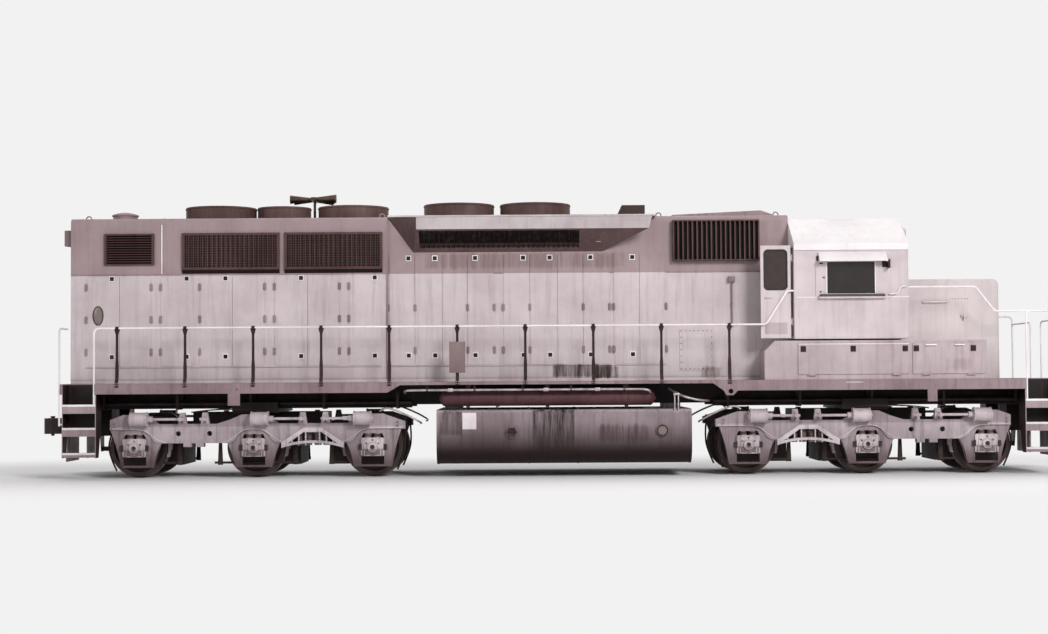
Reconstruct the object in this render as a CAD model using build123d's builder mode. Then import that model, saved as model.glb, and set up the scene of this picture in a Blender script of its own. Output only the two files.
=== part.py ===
from build123d import *
import os

os.makedirs("parts", exist_ok=True)

# A six-axle diesel road switcher with a low short nose, a long hood and a flared brake hatch.
# Millimetres. X points to the nose end, Y to the left side and Z up from the tips of the wheel
# flanges, with the origin midway between the two couplers.

# Wheels, axles and rail level
wheel_radius = 508.0
flange_depth = 25.0
wheel_back = 676.5
rim_width = 140.0
rim_inner_radius = 432.0
web_thickness = 30.0
hub_radius = 150.0
axle_radius = 100.0
journal_radius = 80.0
journal_end = 1110.0
hub_overhang = 40.0
running_clearance = 0.05
seat_clearance = 0.3


def above_rail(height):
    # The rail head lies one flange depth above the flange tips.
    return height + flange_depth


axle_height = above_rail(wheel_radius)
flange_radius = wheel_radius + flange_depth

# Overall length, width and the main levels
coupler_face = 9252.0
platform_end = 8600.0
body_half_width = 1562.0
hood_half_width = 914.0
radiator_half_width = 980.0
deck_top = above_rail(1630.0)
deck_thickness = 52.0
deck_bottom = deck_top - deck_thickness
sill_plate = 25.0
sill_bottom = above_rail(1450.0)
center_sill_half_width = 420.0
center_sill_bottom = above_rail(1230.0)
hood_top = above_rail(4530.0)
hood_wall = 50.0
hood_corner_radius = 100.0

# Stations along the body, from the rear end to the nose
hood_rear = -platform_end + 35.0
radiator_rear = -6959.0
radiator_front = -3013.0
cab_rear = 4031.0
cab_front = 6001.0
nose_front = 7750.0

# Trucks
truck_center = 5334.0
axle_spacing = 2070.0
frame_inner = 1030.0
frame_thickness = 150.0
frame_outer = frame_inner + frame_thickness
frame_middle = frame_inner + frame_thickness / 2
beam_bottom = above_rail(590.0)
beam_top = above_rail(925.0)
beam_end_top = above_rail(1000.0)
hump_top = above_rail(1085.0)
arch_underside = above_rail(824.0)
arch_level_half = 108.0
arch_foot_half = 461.0
pedestal_bottom = above_rail(204.0)
pedestal_setback = 28.0
outer_overhang = 424.0
inner_overhang = 566.0
jaw_half_width = 200.0
beam_hole_radius = 45.0
beam_hole_offset = 272.0
beam_lug_height = 65.0
transom_near = 870.0
transom_far = 1200.0
transom_bottom = above_rail(600.0)
transom_top = above_rail(880.0)
center_beam_half_width = 350.0
center_plate_top = above_rail(1110.0)
center_pin_radius = 120.0
center_pin_length = 60.0
bolster_half_length = 400.0
bolster_half_width = frame_inner - 30.0

# Journal boxes, their springs and the tie bars
box_half_width = jaw_half_width - 15.0
box_half_height = 160.0
box_inner = frame_inner - 18.0
box_outer = frame_outer + 10.0
box_ear_reach = 245.0
box_ear_half_height = 45.0
cap_flange_radius = 150.0
cap_flange_thickness = 18.0
cap_radius = 91.0
cap_outer = box_outer + 53.0
cap_recess_radius = 40.0
box_spring_radius = 55.0
box_spring_offset = 80.0
spring_seat = above_rail(744.0)
tie_bar_height = 36.0

# Spring plank between the inner axles: a roof-shaped strap over a bowed plate, with ribs between
strap_half_length = 540.0
strap_half_top = 155.0
strap_end_bottom = above_rail(500.0)
strap_end_top = above_rail(594.0)
strap_top = above_rail(850.0)
strap_thickness = 75.0
strap_proud = 90.0
plank_thickness = 45.0
plank_rise = 85.0
plank_rib_offsets = (120.0, 240.0, 358.0)
plank_rib_width = 20.0
bolster_spring_radius = 60.0
bolster_spring_offsets = (82.0, 232.0)

# Brakes and traction motors
brake_cylinder_radius = 119.0
brake_cylinder_half_length = 147.0
brake_cylinder_height = above_rail(1010.0)
cylinder_foot_half_length = 100.0
cylinder_foot_drop = 75.0
cylinder_foot_rise = 25.0
push_rod_radius = 24.0
push_rod_boss_radius = 52.0
push_rod_boss_length = 90.0
hanger_top = above_rail(1120.0)
hanger_plate = 18.0
hanger_half_gap = 40.0
hanger_half_foot = 75.0
hanger_half_head = 40.0
shoe_thickness = 50.0
shoe_half_height = 170.0
shoe_gap = 8.0
shoe_inner_y = 722.0
shoe_width = 84.0
shoe_hanger_height = above_rail(800.0)
shoe_hanger_radius = 24.0
motor_half_width = 560.0
motor_length = 620.0
motor_offset = 130.0
motor_arm_half_width = 60.0
motor_arm_half_height = 100.0
motor_bottom = above_rail(190.0)
motor_top = above_rail(840.0)

# Fuel tank and air reservoirs
tank_rear = -2135.0
tank_front = 2255.0
tank_half_width = body_half_width - 62.0
tank_bottom = above_rail(209.0)
tank_top = above_rail(1140.0)
tank_top_radius = 100.0
tank_bottom_radius = 320.0
reservoir_radius = 140.0
reservoir_rear = -2096.0
reservoir_front = 1654.0
reservoir_y = body_half_width - 362.0
reservoir_height = above_rail(1345.0)

# Cab
cab_floor = above_rail(2329.0)
cab_eave = above_rail(3935.0)
cab_roof_top = above_rail(4461.0)
cab_roof_half_top = 810.0
cab_wall = 60.0
cab_floor_thickness = 60.0
eave_overhang = 20.0
eave_height = 34.0
roof_skin = 50.0
glass_thickness = 8.0
gutter_height = 78.0
hinge_y = body_half_width - 92.0
hinge_stand = 25.0
hinge_pin_radius = 8.0
hinge_barrel_radius = 15.0
hinge_barrel_height = 70.0
hinge_lug_height = 24.0
door_inner_gap = 22.0
door_clearance = 16.0
door_width = hinge_y - door_inner_gap - hood_half_width - door_clearance
door_height = 1600.0
door_thickness = 38.0
door_sill = cab_floor + 17.0
door_lap = 30.0
hinge_inset = 250.0
hinge_leaf_half = 10.0

# Short nose and battery boxes
nose_top = above_rail(3377.0)
nose_corner_radius = 150.0
battery_rear = cab_rear - 517.0
battery_front = nose_front - 414.0
battery_top = cab_floor - 29.0
battery_chamfer = 180.0
battery_door_bottom = deck_top + 90.0
battery_door_top = battery_top - 50.0
battery_door_thickness = 14.0

# Roof fans
fan_blades = 8
fan_root_pitch = 40.0
fan_tip_pitch = 20.0
fan_ring_height = 250.0
fan_ring_thickness = 22.0
fan_tip_clearance = 20.0
fan_hub_height = 90.0
fan_motor_height = 170.0
fan_shaft_radius = 32.0
fan_shaft_length = 110.0
fan_arm_width = 70.0
fan_arm_height = 30.0

# Handrails
rail_radius = 17.0
rail_y = body_half_width - 32.0
rail_top = above_rail(2585.0)
stanchion_count = 10
stanchion_first = -7627.0
stanchion_pitch = 1171.0
stanchion_width = 60.0
stanchion_thickness = 14.0

parts = {}


def block(x_limits, y_limits, z_limits, mode=Mode.ADD):
    # A box between two limits on each axis, put into the part in hand.
    limits = (sorted(x_limits), sorted(y_limits), sorted(z_limits))
    middle = tuple((low + high) / 2 for low, high in limits)
    with Locations(middle):
        Box(*(high - low for low, high in limits), mode=mode)


def prism(points, plane, depth, mode=Mode.ADD):
    # A straight-sided outline on a plane, extruded along the plane's normal.
    with BuildSketch(plane) as outline:
        with BuildLine():
            Polyline(*points, close=True)
        make_face()
    extrude(outline.sketch, amount=depth, mode=mode)


def rod(start, end, radius, mode=Mode.ADD):
    # A round bar from one point to another.
    direction = Vector(*end) - Vector(*start)
    with BuildSketch(Plane(origin=start, z_dir=direction)) as circle:
        Circle(radius)
    extrude(circle.sketch, amount=direction.length, mode=mode)


def bent_tube(points, bend_radius, radius):
    # A round rail along straight runs joined by arcs.
    with BuildLine() as route:
        FilletPolyline(*points, radius=bend_radius)
    with BuildSketch(Plane(origin=route.line @ 0, z_dir=route.line % 0)) as circle:
        Circle(radius)
    sweep(circle.sketch, path=route.line)


def both_sides():
    mirror(about=Plane.XZ)


# Wheelsets: the axle, its two wheels and its journals turned from one section
axle_offsets = (axle_spacing, 0.0, -axle_spacing)
wheelset_centers = [side * truck_center + offset for side in (1, -1) for offset in axle_offsets]
rim_outer = wheel_back + rim_width
hub_inner = wheel_back - hub_overhang
hub_outer = rim_outer + hub_overhang
web_rim_y = wheel_back + 38.0
web_hub_y = web_rim_y + 30.0
flange_tip_y = wheel_back + 14.0
flange_foot_y = wheel_back + 34.0
tread_drop = 5.0
wheel_section = [
    # radius, distance from the middle of the axle
    (0, 0),
    (axle_radius, 0),
    (axle_radius, hub_inner),
    (hub_radius, hub_inner),
    (hub_radius, web_hub_y),
    (rim_inner_radius, web_rim_y),
    (rim_inner_radius, wheel_back),
    (flange_radius - 8, wheel_back),
    (flange_radius, flange_tip_y),
    (wheel_radius + 4, flange_foot_y),
    (wheel_radius, flange_foot_y + 12),
    (wheel_radius - tread_drop, rim_outer),
    (rim_inner_radius, rim_outer),
    (rim_inner_radius, web_rim_y + web_thickness),
    (hub_radius, web_hub_y + web_thickness),
    (hub_radius, hub_outer),
    (axle_radius, hub_outer),
    (journal_radius, hub_outer + 25),
    (journal_radius, journal_end),
    (0, journal_end),
]
for number, center in enumerate(wheelset_centers, start=1):
    with BuildPart() as wheelset:
        with BuildSketch(Plane(origin=(center, 0, axle_height), x_dir=(1, 0, 0), z_dir=(0, 0, 1))):
            with BuildLine():
                Polyline(*wheel_section, close=True)
            make_face()
            mirror(about=Plane.XZ)
        revolve(axis=Axis((center, 0, axle_height), (0, 1, 0)))
    parts[f"wheelset_{number}"] = wheelset.part


# Trucks: "out" is +1 for the truck under the nose and -1 for the one under the radiators
truck_ends = {"front": 1, "rear": -1}
outer_end = axle_spacing + outer_overhang
inner_end = -axle_spacing - inner_overhang
strap_middle = -axle_spacing / 2
beam_top_edge = [
    # station, height, from the outer end to the inner end
    (outer_end, beam_end_top),
    (axle_spacing + 200, hump_top),
    (axle_spacing - 200, hump_top),
    (axle_spacing - 420, beam_top),
    (640, beam_top),
    (400, beam_end_top),
    (200, hump_top),
    (-200, hump_top),
    (-430, beam_top),
    (-axle_spacing + 430, beam_top),
    (-axle_spacing + 200, hump_top),
    (-axle_spacing - 180, hump_top),
    (inner_end, beam_end_top - 50),
]
pedestal_legs = [
    # axle, side of it, reach at the top, reach at the foot, height of the top
    (axle_spacing, 1, outer_overhang, 244.0, arch_underside),
    (axle_spacing, -1, arch_foot_half, 335.0, beam_bottom),
    (0.0, 1, arch_foot_half, 335.0, beam_bottom),
    (0.0, -1, arch_foot_half, 335.0, beam_bottom),
    (-axle_spacing, 1, arch_foot_half, 335.0, beam_bottom),
    (-axle_spacing, -1, 500.0, 345.0, arch_underside),
]
leg_hollow = 26.0
tie_bar_inset = 10.0
beam_lug_offsets = (-106.0, 113.0)
beam_lug_half_length = 70.0
strap_opening_inset = 120.0
brake_sides = [
    # axle, side of it where the brake stands, distance from the axle to the cylinder's middle
    (axle_spacing, -1, 105.0),
    (0.0, -1, 127.0),
    (-axle_spacing, 1, 167.0),
]
hanger_stations = [
    # station of the lever hanger, station of the cylinder's end that its rod comes from
    (1242.0, axle_spacing - 105.0 - brake_cylinder_half_length),
    (-851.0, -127.0 - brake_cylinder_half_length),
    (-1246.0, -axle_spacing + 167.0 + brake_cylinder_half_length),
]
spare_hanger_station = 848.0


def flowing_bend(start, end):
    # Two arcs that leave and arrive level, one curving each way.
    middle = ((start[0] + end[0]) / 2, (start[1] + end[1]) / 2)
    TangentArc(start, middle, tangent=(end[0] - start[0], 0))
    TangentArc(end, middle, tangent=(start[0] - end[0], 0))


for end_name, out in truck_ends.items():
    origin_x = out * truck_center

    def station(offset):
        # Offsets along a truck grow towards the end of the locomotive.
        return origin_x + out * offset

    def spot(offset, height):
        return station(offset), height

    frame_plane = Plane.XZ.offset(frame_inner)
    with BuildPart() as truck_frame:
        # The cast beam, whose underside flows up over each axle
        with BuildSketch(frame_plane):
            with BuildLine():
                Polyline(*(spot(*point) for point in beam_top_edge))
                Line(spot(*beam_top_edge[0]), spot(outer_end, arch_underside))
                Line(spot(outer_end, arch_underside), spot(axle_spacing - arch_level_half, arch_underside))
                for axle in axle_offsets[:2]:
                    next_axle = axle - axle_spacing
                    flowing_bend(
                        spot(axle - arch_level_half, arch_underside),
                        spot(axle - arch_foot_half, beam_bottom),
                    )
                    Line(
                        spot(axle - arch_foot_half, beam_bottom),
                        spot(next_axle + arch_foot_half, beam_bottom),
                    )
                    flowing_bend(
                        spot(next_axle + arch_foot_half, beam_bottom),
                        spot(next_axle + arch_level_half, arch_underside),
                    )
                    level_end = next_axle - arch_level_half if next_axle == 0 else inner_end
                    Line(spot(next_axle + arch_level_half, arch_underside), spot(level_end, arch_underside))
                Line(spot(inner_end, arch_underside), spot(*beam_top_edge[-1]))
            make_face()
        extrude(amount=frame_thickness)
        # Pedestal legs, set back from the face of the beam, narrowing in a hollow curve to the foot
        for axle, side, top_reach, foot_reach, top in pedestal_legs:
            with BuildSketch(frame_plane) as leg:
                with BuildLine():
                    foot = spot(axle + side * foot_reach, pedestal_bottom)
                    shoulder = spot(axle + side * top_reach, top)
                    Polyline(
                        shoulder,
                        spot(axle + side * top_reach, arch_underside + 30),
                        spot(axle + side * arch_level_half, arch_underside + 30),
                        spot(axle + side * arch_level_half, pedestal_bottom),
                        foot,
                    )
                    hollow = spot(
                        axle + side * ((top_reach + foot_reach) / 2 - leg_hollow),
                        (top + pedestal_bottom) / 2 - leg_hollow,
                    )
                    ThreePointArc(foot, hollow, shoulder)
                make_face()
            extrude(leg.sketch, amount=frame_thickness - pedestal_setback)
        jaw_top = arch_underside - jaw_half_width
        for axle in axle_offsets:
            block(
                (station(axle - jaw_half_width), station(axle + jaw_half_width)),
                (-frame_inner + 1, -frame_outer - 1),
                (pedestal_bottom - 1, jaw_top),
                Mode.SUBTRACT,
            )
            rod(
                (station(axle), -frame_inner + 1, jaw_top),
                (station(axle), -frame_outer - 1, jaw_top),
                jaw_half_width,
                Mode.SUBTRACT,
            )
            # Spring seat under the crown of the pedestal
            block(
                (station(axle - jaw_half_width), station(axle + jaw_half_width)),
                (-frame_inner - 25, -frame_outer + pedestal_setback),
                (spring_seat, arch_underside),
            )
        # Tie bars across the feet of the pedestals
        for axle in axle_offsets:
            reach = {side: foot for leg_axle, side, _, foot, _ in pedestal_legs if leg_axle == axle}
            block(
                (station(axle - reach[-1] + tie_bar_inset), station(axle + reach[1] - tie_bar_inset)),
                (-frame_inner - 30, -frame_outer + pedestal_setback),
                (pedestal_bottom - tie_bar_height, pedestal_bottom),
            )
        # Two through holes and two lugs on the beam between the outer axles
        beam_middle = (beam_bottom + beam_top) / 2
        for offset in (-beam_hole_offset, beam_hole_offset):
            hole_x = station(axle_spacing / 2 + offset)
            rod(
                (hole_x, -frame_inner + 1, beam_middle),
                (hole_x, -frame_outer - 1, beam_middle),
                beam_hole_radius,
                Mode.SUBTRACT,
            )
        for offset in beam_lug_offsets:
            lug_middle = axle_spacing / 2 + offset
            block(
                (station(lug_middle - beam_lug_half_length), station(lug_middle + beam_lug_half_length)),
                (-frame_inner, -frame_outer),
                (beam_bottom - beam_lug_height, beam_bottom + 1),
            )
        # Opening in the beam over the spring plank, then the strap, the plank, its ribs and springs
        strap_under = strap_top - strap_thickness
        prism(
            [
                (station(strap_middle - strap_half_length + strap_opening_inset), beam_bottom - 1),
                (station(strap_middle - strap_half_top), strap_under),
                (station(strap_middle + strap_half_top), strap_under),
                (station(strap_middle + strap_half_length - strap_opening_inset), beam_bottom - 1),
            ],
            Plane.XZ.offset(frame_inner - 1),
            frame_thickness + 2,
            Mode.SUBTRACT,
        )
        prism(
            [
                (station(strap_middle - strap_half_length), strap_end_bottom),
                (station(strap_middle - strap_half_length), strap_end_top),
                (station(strap_middle - strap_half_top), strap_top),
                (station(strap_middle + strap_half_top), strap_top),
                (station(strap_middle + strap_half_length), strap_end_top),
                (station(strap_middle + strap_half_length), strap_end_bottom),
                (station(strap_middle + strap_half_top), strap_under),
                (station(strap_middle - strap_half_top), strap_under),
            ],
            Plane.XZ.offset(frame_outer),
            strap_proud,
        )
        with BuildSketch(Plane.XZ.offset(frame_inner + 10)) as plank:
            with BuildLine():
                for lift in (0, plank_thickness):
                    ThreePointArc(
                        spot(strap_middle - strap_half_length, strap_end_bottom + lift),
                        spot(strap_middle, strap_end_bottom + lift + plank_rise),
                        spot(strap_middle + strap_half_length, strap_end_bottom + lift),
                    )
                for tip in (-strap_half_length, strap_half_length):
                    Line(
                        spot(strap_middle + tip, strap_end_bottom),
                        spot(strap_middle + tip, strap_end_bottom + plank_thickness),
                    )
            make_face()
        extrude(plank.sketch, amount=frame_thickness - 10 + strap_proud)
        strap_fall = (strap_under - strap_end_bottom) / (strap_half_length - strap_half_top)
        for offset in plank_rib_offsets:
            rib_top = strap_under - max(offset - strap_half_top, 0) * strap_fall + 10
            for side in (-1, 1):
                middle = strap_middle + side * offset
                block(
                    (station(middle - plank_rib_width / 2), station(middle + plank_rib_width / 2)),
                    (-frame_outer, -frame_outer - strap_proud + 15),
                    (strap_end_bottom + plank_thickness, rib_top),
                )
        for offset in bolster_spring_offsets:
            for side in (-1, 1):
                spring_x = station(strap_middle + side * offset)
                rod(
                    (spring_x, -frame_middle, strap_end_bottom + plank_thickness),
                    (spring_x, -frame_middle, strap_under + 1),
                    bolster_spring_radius,
                )
        both_sides()
        # Transoms and the centre beam that carries the body
        for near, far in ((transom_near, transom_far), (-transom_near, -transom_far)):
            block((station(near), station(far)), (-frame_inner, frame_inner), (transom_bottom, transom_top))
        block(
            (station(-transom_far), station(transom_far)),
            (-center_beam_half_width, center_beam_half_width),
            (transom_top, center_plate_top),
        )
        with Locations((origin_x, 0, center_plate_top - center_pin_length / 2)):
            Cylinder(
                center_pin_radius + running_clearance,
                center_pin_length,
                mode=Mode.SUBTRACT,
            )
    parts[f"truck_frame_{end_name}"] = truck_frame.part

    with BuildPart() as journal_boxes:
        for axle in axle_offsets:
            block(
                (station(axle - box_half_width), station(axle + box_half_width)),
                (-box_inner, -box_outer),
                (axle_height - box_half_height, axle_height + box_half_height),
            )
            block(
                (station(axle - box_ear_reach), station(axle + box_ear_reach)),
                (-frame_outer + pedestal_setback, -box_outer),
                (axle_height - box_ear_half_height, axle_height + box_ear_half_height),
            )
            # The cap: a bolted flange, a raised ring and the recess in it
            cap_steps = ((cap_flange_radius, box_outer + cap_flange_thickness), (cap_radius, cap_outer))
            for radius, face in cap_steps:
                rod((station(axle), -box_outer + 1, axle_height), (station(axle), -face, axle_height), radius)
            rod(
                (station(axle), -cap_outer + cap_flange_thickness, axle_height),
                (station(axle), -cap_outer - 1, axle_height),
                cap_recess_radius,
                Mode.SUBTRACT,
            )
            rod(
                (station(axle), -box_inner + 1, axle_height),
                (station(axle), -journal_end - 2, axle_height),
                journal_radius + running_clearance,
                Mode.SUBTRACT,
            )
            for offset in (-box_spring_offset, box_spring_offset):
                spring_x = station(axle + offset)
                rod(
                    (spring_x, -frame_middle, axle_height + box_half_height),
                    (spring_x, -frame_middle, spring_seat),
                    box_spring_radius,
                )
        both_sides()
    parts[f"journal_boxes_{end_name}"] = journal_boxes.part

    cylinder_y = -frame_outer - brake_cylinder_radius
    with BuildPart() as brake_gear:
        for axle, side, distance in brake_sides:
            middle = axle + side * distance
            # The cylinder on its foot, with the boss that its push rod comes out of
            rod(
                (station(middle - brake_cylinder_half_length), cylinder_y, brake_cylinder_height),
                (station(middle + brake_cylinder_half_length), cylinder_y, brake_cylinder_height),
                brake_cylinder_radius,
            )
            block(
                (station(middle - cylinder_foot_half_length), station(middle + cylinder_foot_half_length)),
                (-frame_outer, cylinder_y),
                (brake_cylinder_height - cylinder_foot_drop, brake_cylinder_height + cylinder_foot_rise),
            )
            rod(
                (station(middle), cylinder_y, brake_cylinder_height),
                (
                    station(middle + side * (brake_cylinder_half_length + push_rod_boss_length)),
                    cylinder_y,
                    brake_cylinder_height,
                ),
                push_rod_boss_radius,
            )
        for hanger_at, rod_from in hanger_stations:
            # The push rod reaches the pin of the lever hanger
            rod(
                (station(rod_from), cylinder_y, brake_cylinder_height),
                (station(hanger_at), cylinder_y, brake_cylinder_height),
                push_rod_radius,
            )
            rod(
                (station(hanger_at), cylinder_y - push_rod_radius - 12, brake_cylinder_height),
                (station(hanger_at), -frame_middle + hanger_half_gap + hanger_plate, brake_cylinder_height),
                push_rod_radius,
            )
        for hanger_at in [row[0] for row in hanger_stations] + [spare_hanger_station]:
            for near in (hanger_half_gap, -hanger_half_gap - hanger_plate):
                prism(
                    [
                        (station(hanger_at - hanger_half_foot), beam_top),
                        (station(hanger_at + hanger_half_foot), beam_top),
                        (station(hanger_at + hanger_half_head), hanger_top),
                        (station(hanger_at - hanger_half_head), hanger_top),
                    ],
                    Plane.XZ.offset(frame_middle + near),
                    hanger_plate,
                )
        # Brake shoes close to the treads, hung from pins on the frame
        for axle, side, distance in brake_sides:
            with BuildSketch(Plane.XZ.offset(shoe_inner_y)) as shoe:
                with Locations(spot(axle, axle_height)):
                    Circle(wheel_radius + shoe_gap + shoe_thickness)
                    Circle(wheel_radius + shoe_gap, mode=Mode.SUBTRACT)
                with Locations(spot(axle + side * wheel_radius, axle_height)):
                    Rectangle(wheel_radius, 2 * shoe_half_height, mode=Mode.INTERSECT)
            extrude(shoe.sketch, amount=shoe_width)
            shoe_middle_y = -shoe_inner_y - shoe_width / 2
            hanger_x = station(axle + side * (wheel_radius + shoe_gap + shoe_thickness))
            rod(
                (hanger_x, shoe_middle_y, axle_height - 40),
                (hanger_x, shoe_middle_y, shoe_hanger_height),
                shoe_hanger_radius,
            )
            rod(
                (hanger_x, shoe_middle_y + shoe_hanger_radius + 8, shoe_hanger_height),
                (hanger_x, -frame_inner, shoe_hanger_height),
                shoe_hanger_radius + 8,
            )
        both_sides()
    parts[f"brake_gear_{end_name}"] = brake_gear.part

    with BuildPart() as traction_motors:
        for axle, side, distance in brake_sides:
            near = axle + side * motor_offset
            far = near + side * motor_length
            block(
                (station(near), station(far)),
                (-motor_half_width, motor_half_width),
                (motor_bottom, motor_top),
            )
            # Axle bearing arms that reach round the axle
            arm_middle = motor_half_width - motor_arm_half_width
            for arm_y in (-arm_middle, arm_middle):
                rod(
                    (station(axle), arm_y - motor_arm_half_width, axle_height),
                    (station(axle), arm_y + motor_arm_half_width, axle_height),
                    axle_radius + 60,
                )
                block(
                    (station(axle), station(near)),
                    (arm_y - motor_arm_half_width, arm_y + motor_arm_half_width),
                    (axle_height - motor_arm_half_height, axle_height + motor_arm_half_height),
                )
                rod(
                    (station(axle), arm_y - motor_arm_half_width, axle_height),
                    (station(axle), arm_y + motor_arm_half_width, axle_height),
                    axle_radius + running_clearance,
                    Mode.SUBTRACT,
                )
    parts[f"traction_motors_{end_name}"] = traction_motors.part


# Underframe: deck, centre sill, side sills, bolsters and draft boxes
sill_rear_step = (-2980.0, -2758.0)
sill_front_step = (2624.0, 2806.0)
jack_lobe = (2850.0, 2969.0, 3052.0)
jack_lobe_bottom = above_rail(1370.0)
jack_hole_x = 2928.0
jack_hole_height = above_rail(1440.0)
jack_hole_radius = 42.0
draft_inner = platform_end - 600.0
draft_half_width = 300.0
draft_bottom = above_rail(700.0)
coupler_height = above_rail(876.0)
shank_half_width = 75.0
shank_half_height = 80.0
shank_end = coupler_face - 1132.0
shank_gap = 5.0
pilot_plate = 25.0
step_inner = platform_end - 610.0
step_outer = platform_end - pilot_plate
step_stile = 14.0
step_back_y = body_half_width - 422.0
jacking_pad_half = 150.0
sill_tabs = [
    # rear edge, front edge of the plates that hang from the side sill
    (-5717.0, -5509.0),
    (6308.0, 6473.0),
]
sill_tab_bottom = above_rail(1244.0)
with BuildPart() as underframe:
    block((-platform_end, platform_end), (-body_half_width, body_half_width), (deck_bottom, deck_top))
    sill_plane = Plane.XZ.offset(body_half_width - sill_plate)
    prism(
        [
            (-platform_end, deck_bottom),
            (-platform_end, sill_bottom),
            (sill_rear_step[0], sill_bottom),
            (sill_rear_step[1], deck_bottom),
        ],
        sill_plane,
        sill_plate,
    )
    prism(
        [
            (sill_front_step[0], deck_bottom),
            (sill_front_step[1], sill_bottom),
            (jack_lobe[0], jack_lobe_bottom),
            (jack_lobe[1], jack_lobe_bottom),
            (jack_lobe[2], sill_bottom),
            (platform_end, sill_bottom),
            (platform_end, deck_bottom),
        ],
        sill_plane,
        sill_plate,
    )
    rod(
        (jack_hole_x, -body_half_width + sill_plate + 1, jack_hole_height),
        (jack_hole_x, -body_half_width - 1, jack_hole_height),
        jack_hole_radius,
        Mode.SUBTRACT,
    )
    # Jacking pads, flat underneath, at the four bolster ends
    for pad_x in (-truck_center, truck_center):
        block(
            (pad_x - jacking_pad_half, pad_x + jacking_pad_half),
            (-body_half_width + sill_plate, -body_half_width + 220),
            (sill_bottom, deck_bottom),
        )
    for tab_rear, tab_front in sill_tabs:
        block(
            (tab_rear, tab_front),
            (-body_half_width + sill_plate, -body_half_width),
            (sill_tab_bottom, sill_bottom),
        )
    both_sides()
    # Wells in the deck and sill over the corner steps
    for end in (-1, 1):
        for side in (-1, 1):
            block(
                (end * (step_inner + step_stile), end * (step_outer - step_stile)),
                (side * step_back_y, side * (body_half_width + 1)),
                (sill_bottom - 1, deck_top + 1),
                Mode.SUBTRACT,
            )
    block(
        (-platform_end + pilot_plate, platform_end - pilot_plate),
        (-center_sill_half_width, center_sill_half_width),
        (center_sill_bottom, deck_bottom),
    )
    for end in (-1, 1):
        block(
            (end * truck_center - bolster_half_length, end * truck_center + bolster_half_length),
            (-bolster_half_width, bolster_half_width),
            (center_plate_top + seat_clearance, center_sill_bottom + 60),
        )
        block(
            (end * truck_center - bolster_half_length / 2, end * truck_center + bolster_half_length / 2),
            (-body_half_width + sill_plate, body_half_width - sill_plate),
            (sill_bottom, deck_bottom),
        )
        pin_middle = center_plate_top + seat_clearance - (center_pin_length - 10) / 2
        with Locations((end * truck_center, 0, pin_middle)):
            Cylinder(center_pin_radius, center_pin_length - 10)
        block(
            (end * draft_inner, end * (platform_end - pilot_plate)),
            (-draft_half_width, draft_half_width),
            (draft_bottom, center_sill_bottom),
        )
        block(
            (end * shank_end, end * platform_end),
            (-shank_half_width - shank_gap, shank_half_width + shank_gap),
            (coupler_height - shank_half_height - shank_gap, coupler_height + shank_half_height + shank_gap),
            Mode.SUBTRACT,
        )
parts["underframe"] = underframe.part


# Pilots with their corner steps
step_bottom = above_rail(356.0)
step_face_y = body_half_width - sill_plate
pilot_half_width = step_back_y + step_stile
pilot_bottom = above_rail(280.0)
pilot_face = platform_end
pilot_back = platform_end - pilot_plate
stile_foot_inset = 180.0
stile_shoulder = above_rail(1000.0)
treads = [
    # top, bottom, inner edge
    (above_rail(1271), above_rail(1121), step_face_y - 357),
    (above_rail(872), above_rail(728), step_face_y - 277),
    (above_rail(441), above_rail(366), step_face_y - 197),
]
coupler_gap = 320.0
coupler_gap_top = above_rail(1130.0)
for end_name, out in truck_ends.items():
    with BuildPart() as pilot:
        for stile_x in (step_inner, step_outer - step_stile):
            prism(
                [
                    (step_back_y, deck_bottom),
                    (step_face_y, deck_bottom),
                    (step_face_y, step_bottom),
                    (step_back_y + stile_foot_inset, step_bottom),
                    (step_back_y, stile_shoulder),
                ],
                Plane.YZ.offset(out * stile_x - (step_stile if out < 0 else 0)),
                step_stile,
            )
        for top, bottom, inner in treads:
            block(
                (out * (step_inner + step_stile), out * (step_outer - step_stile)),
                (inner, step_face_y),
                (bottom, top),
            )
        block(
            (out * step_inner, out * step_outer),
            (step_back_y - step_stile, step_back_y),
            (treads[1][1], deck_bottom),
        )
        both_sides()
        block((out * pilot_back, out * pilot_face), (-step_face_y, step_face_y), (sill_bottom, deck_bottom))
        block(
            (out * pilot_back, out * pilot_face),
            (-pilot_half_width, pilot_half_width),
            (pilot_bottom, sill_bottom),
        )
        block(
            (out * (pilot_back - 1), out * (pilot_face + 1)),
            (-coupler_gap, coupler_gap),
            (pilot_bottom - 1, coupler_gap_top),
            Mode.SUBTRACT,
        )
    parts[f"pilot_{end_name}"] = pilot.part


# Couplers: the shank and the head with its guard arm and closed knuckle
head_half_height = 140.0
head_length = 420.0
head_outline = [
    # distance behind the pulling face, distance to the side
    (head_length, 75),
    (300, 150),
    (150, 175),
    (40, 160),
    (0, 120),
    (0, 45),
    (70, 5),
    (130, 0),
    (150, -60),
    (90, -110),
    (0, -150),
    (0, -185),
    (90, -200),
    (300, -150),
    (head_length, -75),
]
for end_name, out in truck_ends.items():
    with BuildPart() as coupler:
        block(
            (out * shank_end, out * (coupler_face - head_length + 20)),
            (-shank_half_width, shank_half_width),
            (coupler_height - shank_half_height, coupler_height + shank_half_height),
        )
        prism(
            [(out * (coupler_face - behind), out * aside) for behind, aside in head_outline],
            Plane.XY.offset(coupler_height - head_half_height),
            2 * head_half_height,
        )
    parts[f"coupler_{end_name}"] = coupler.part


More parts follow.
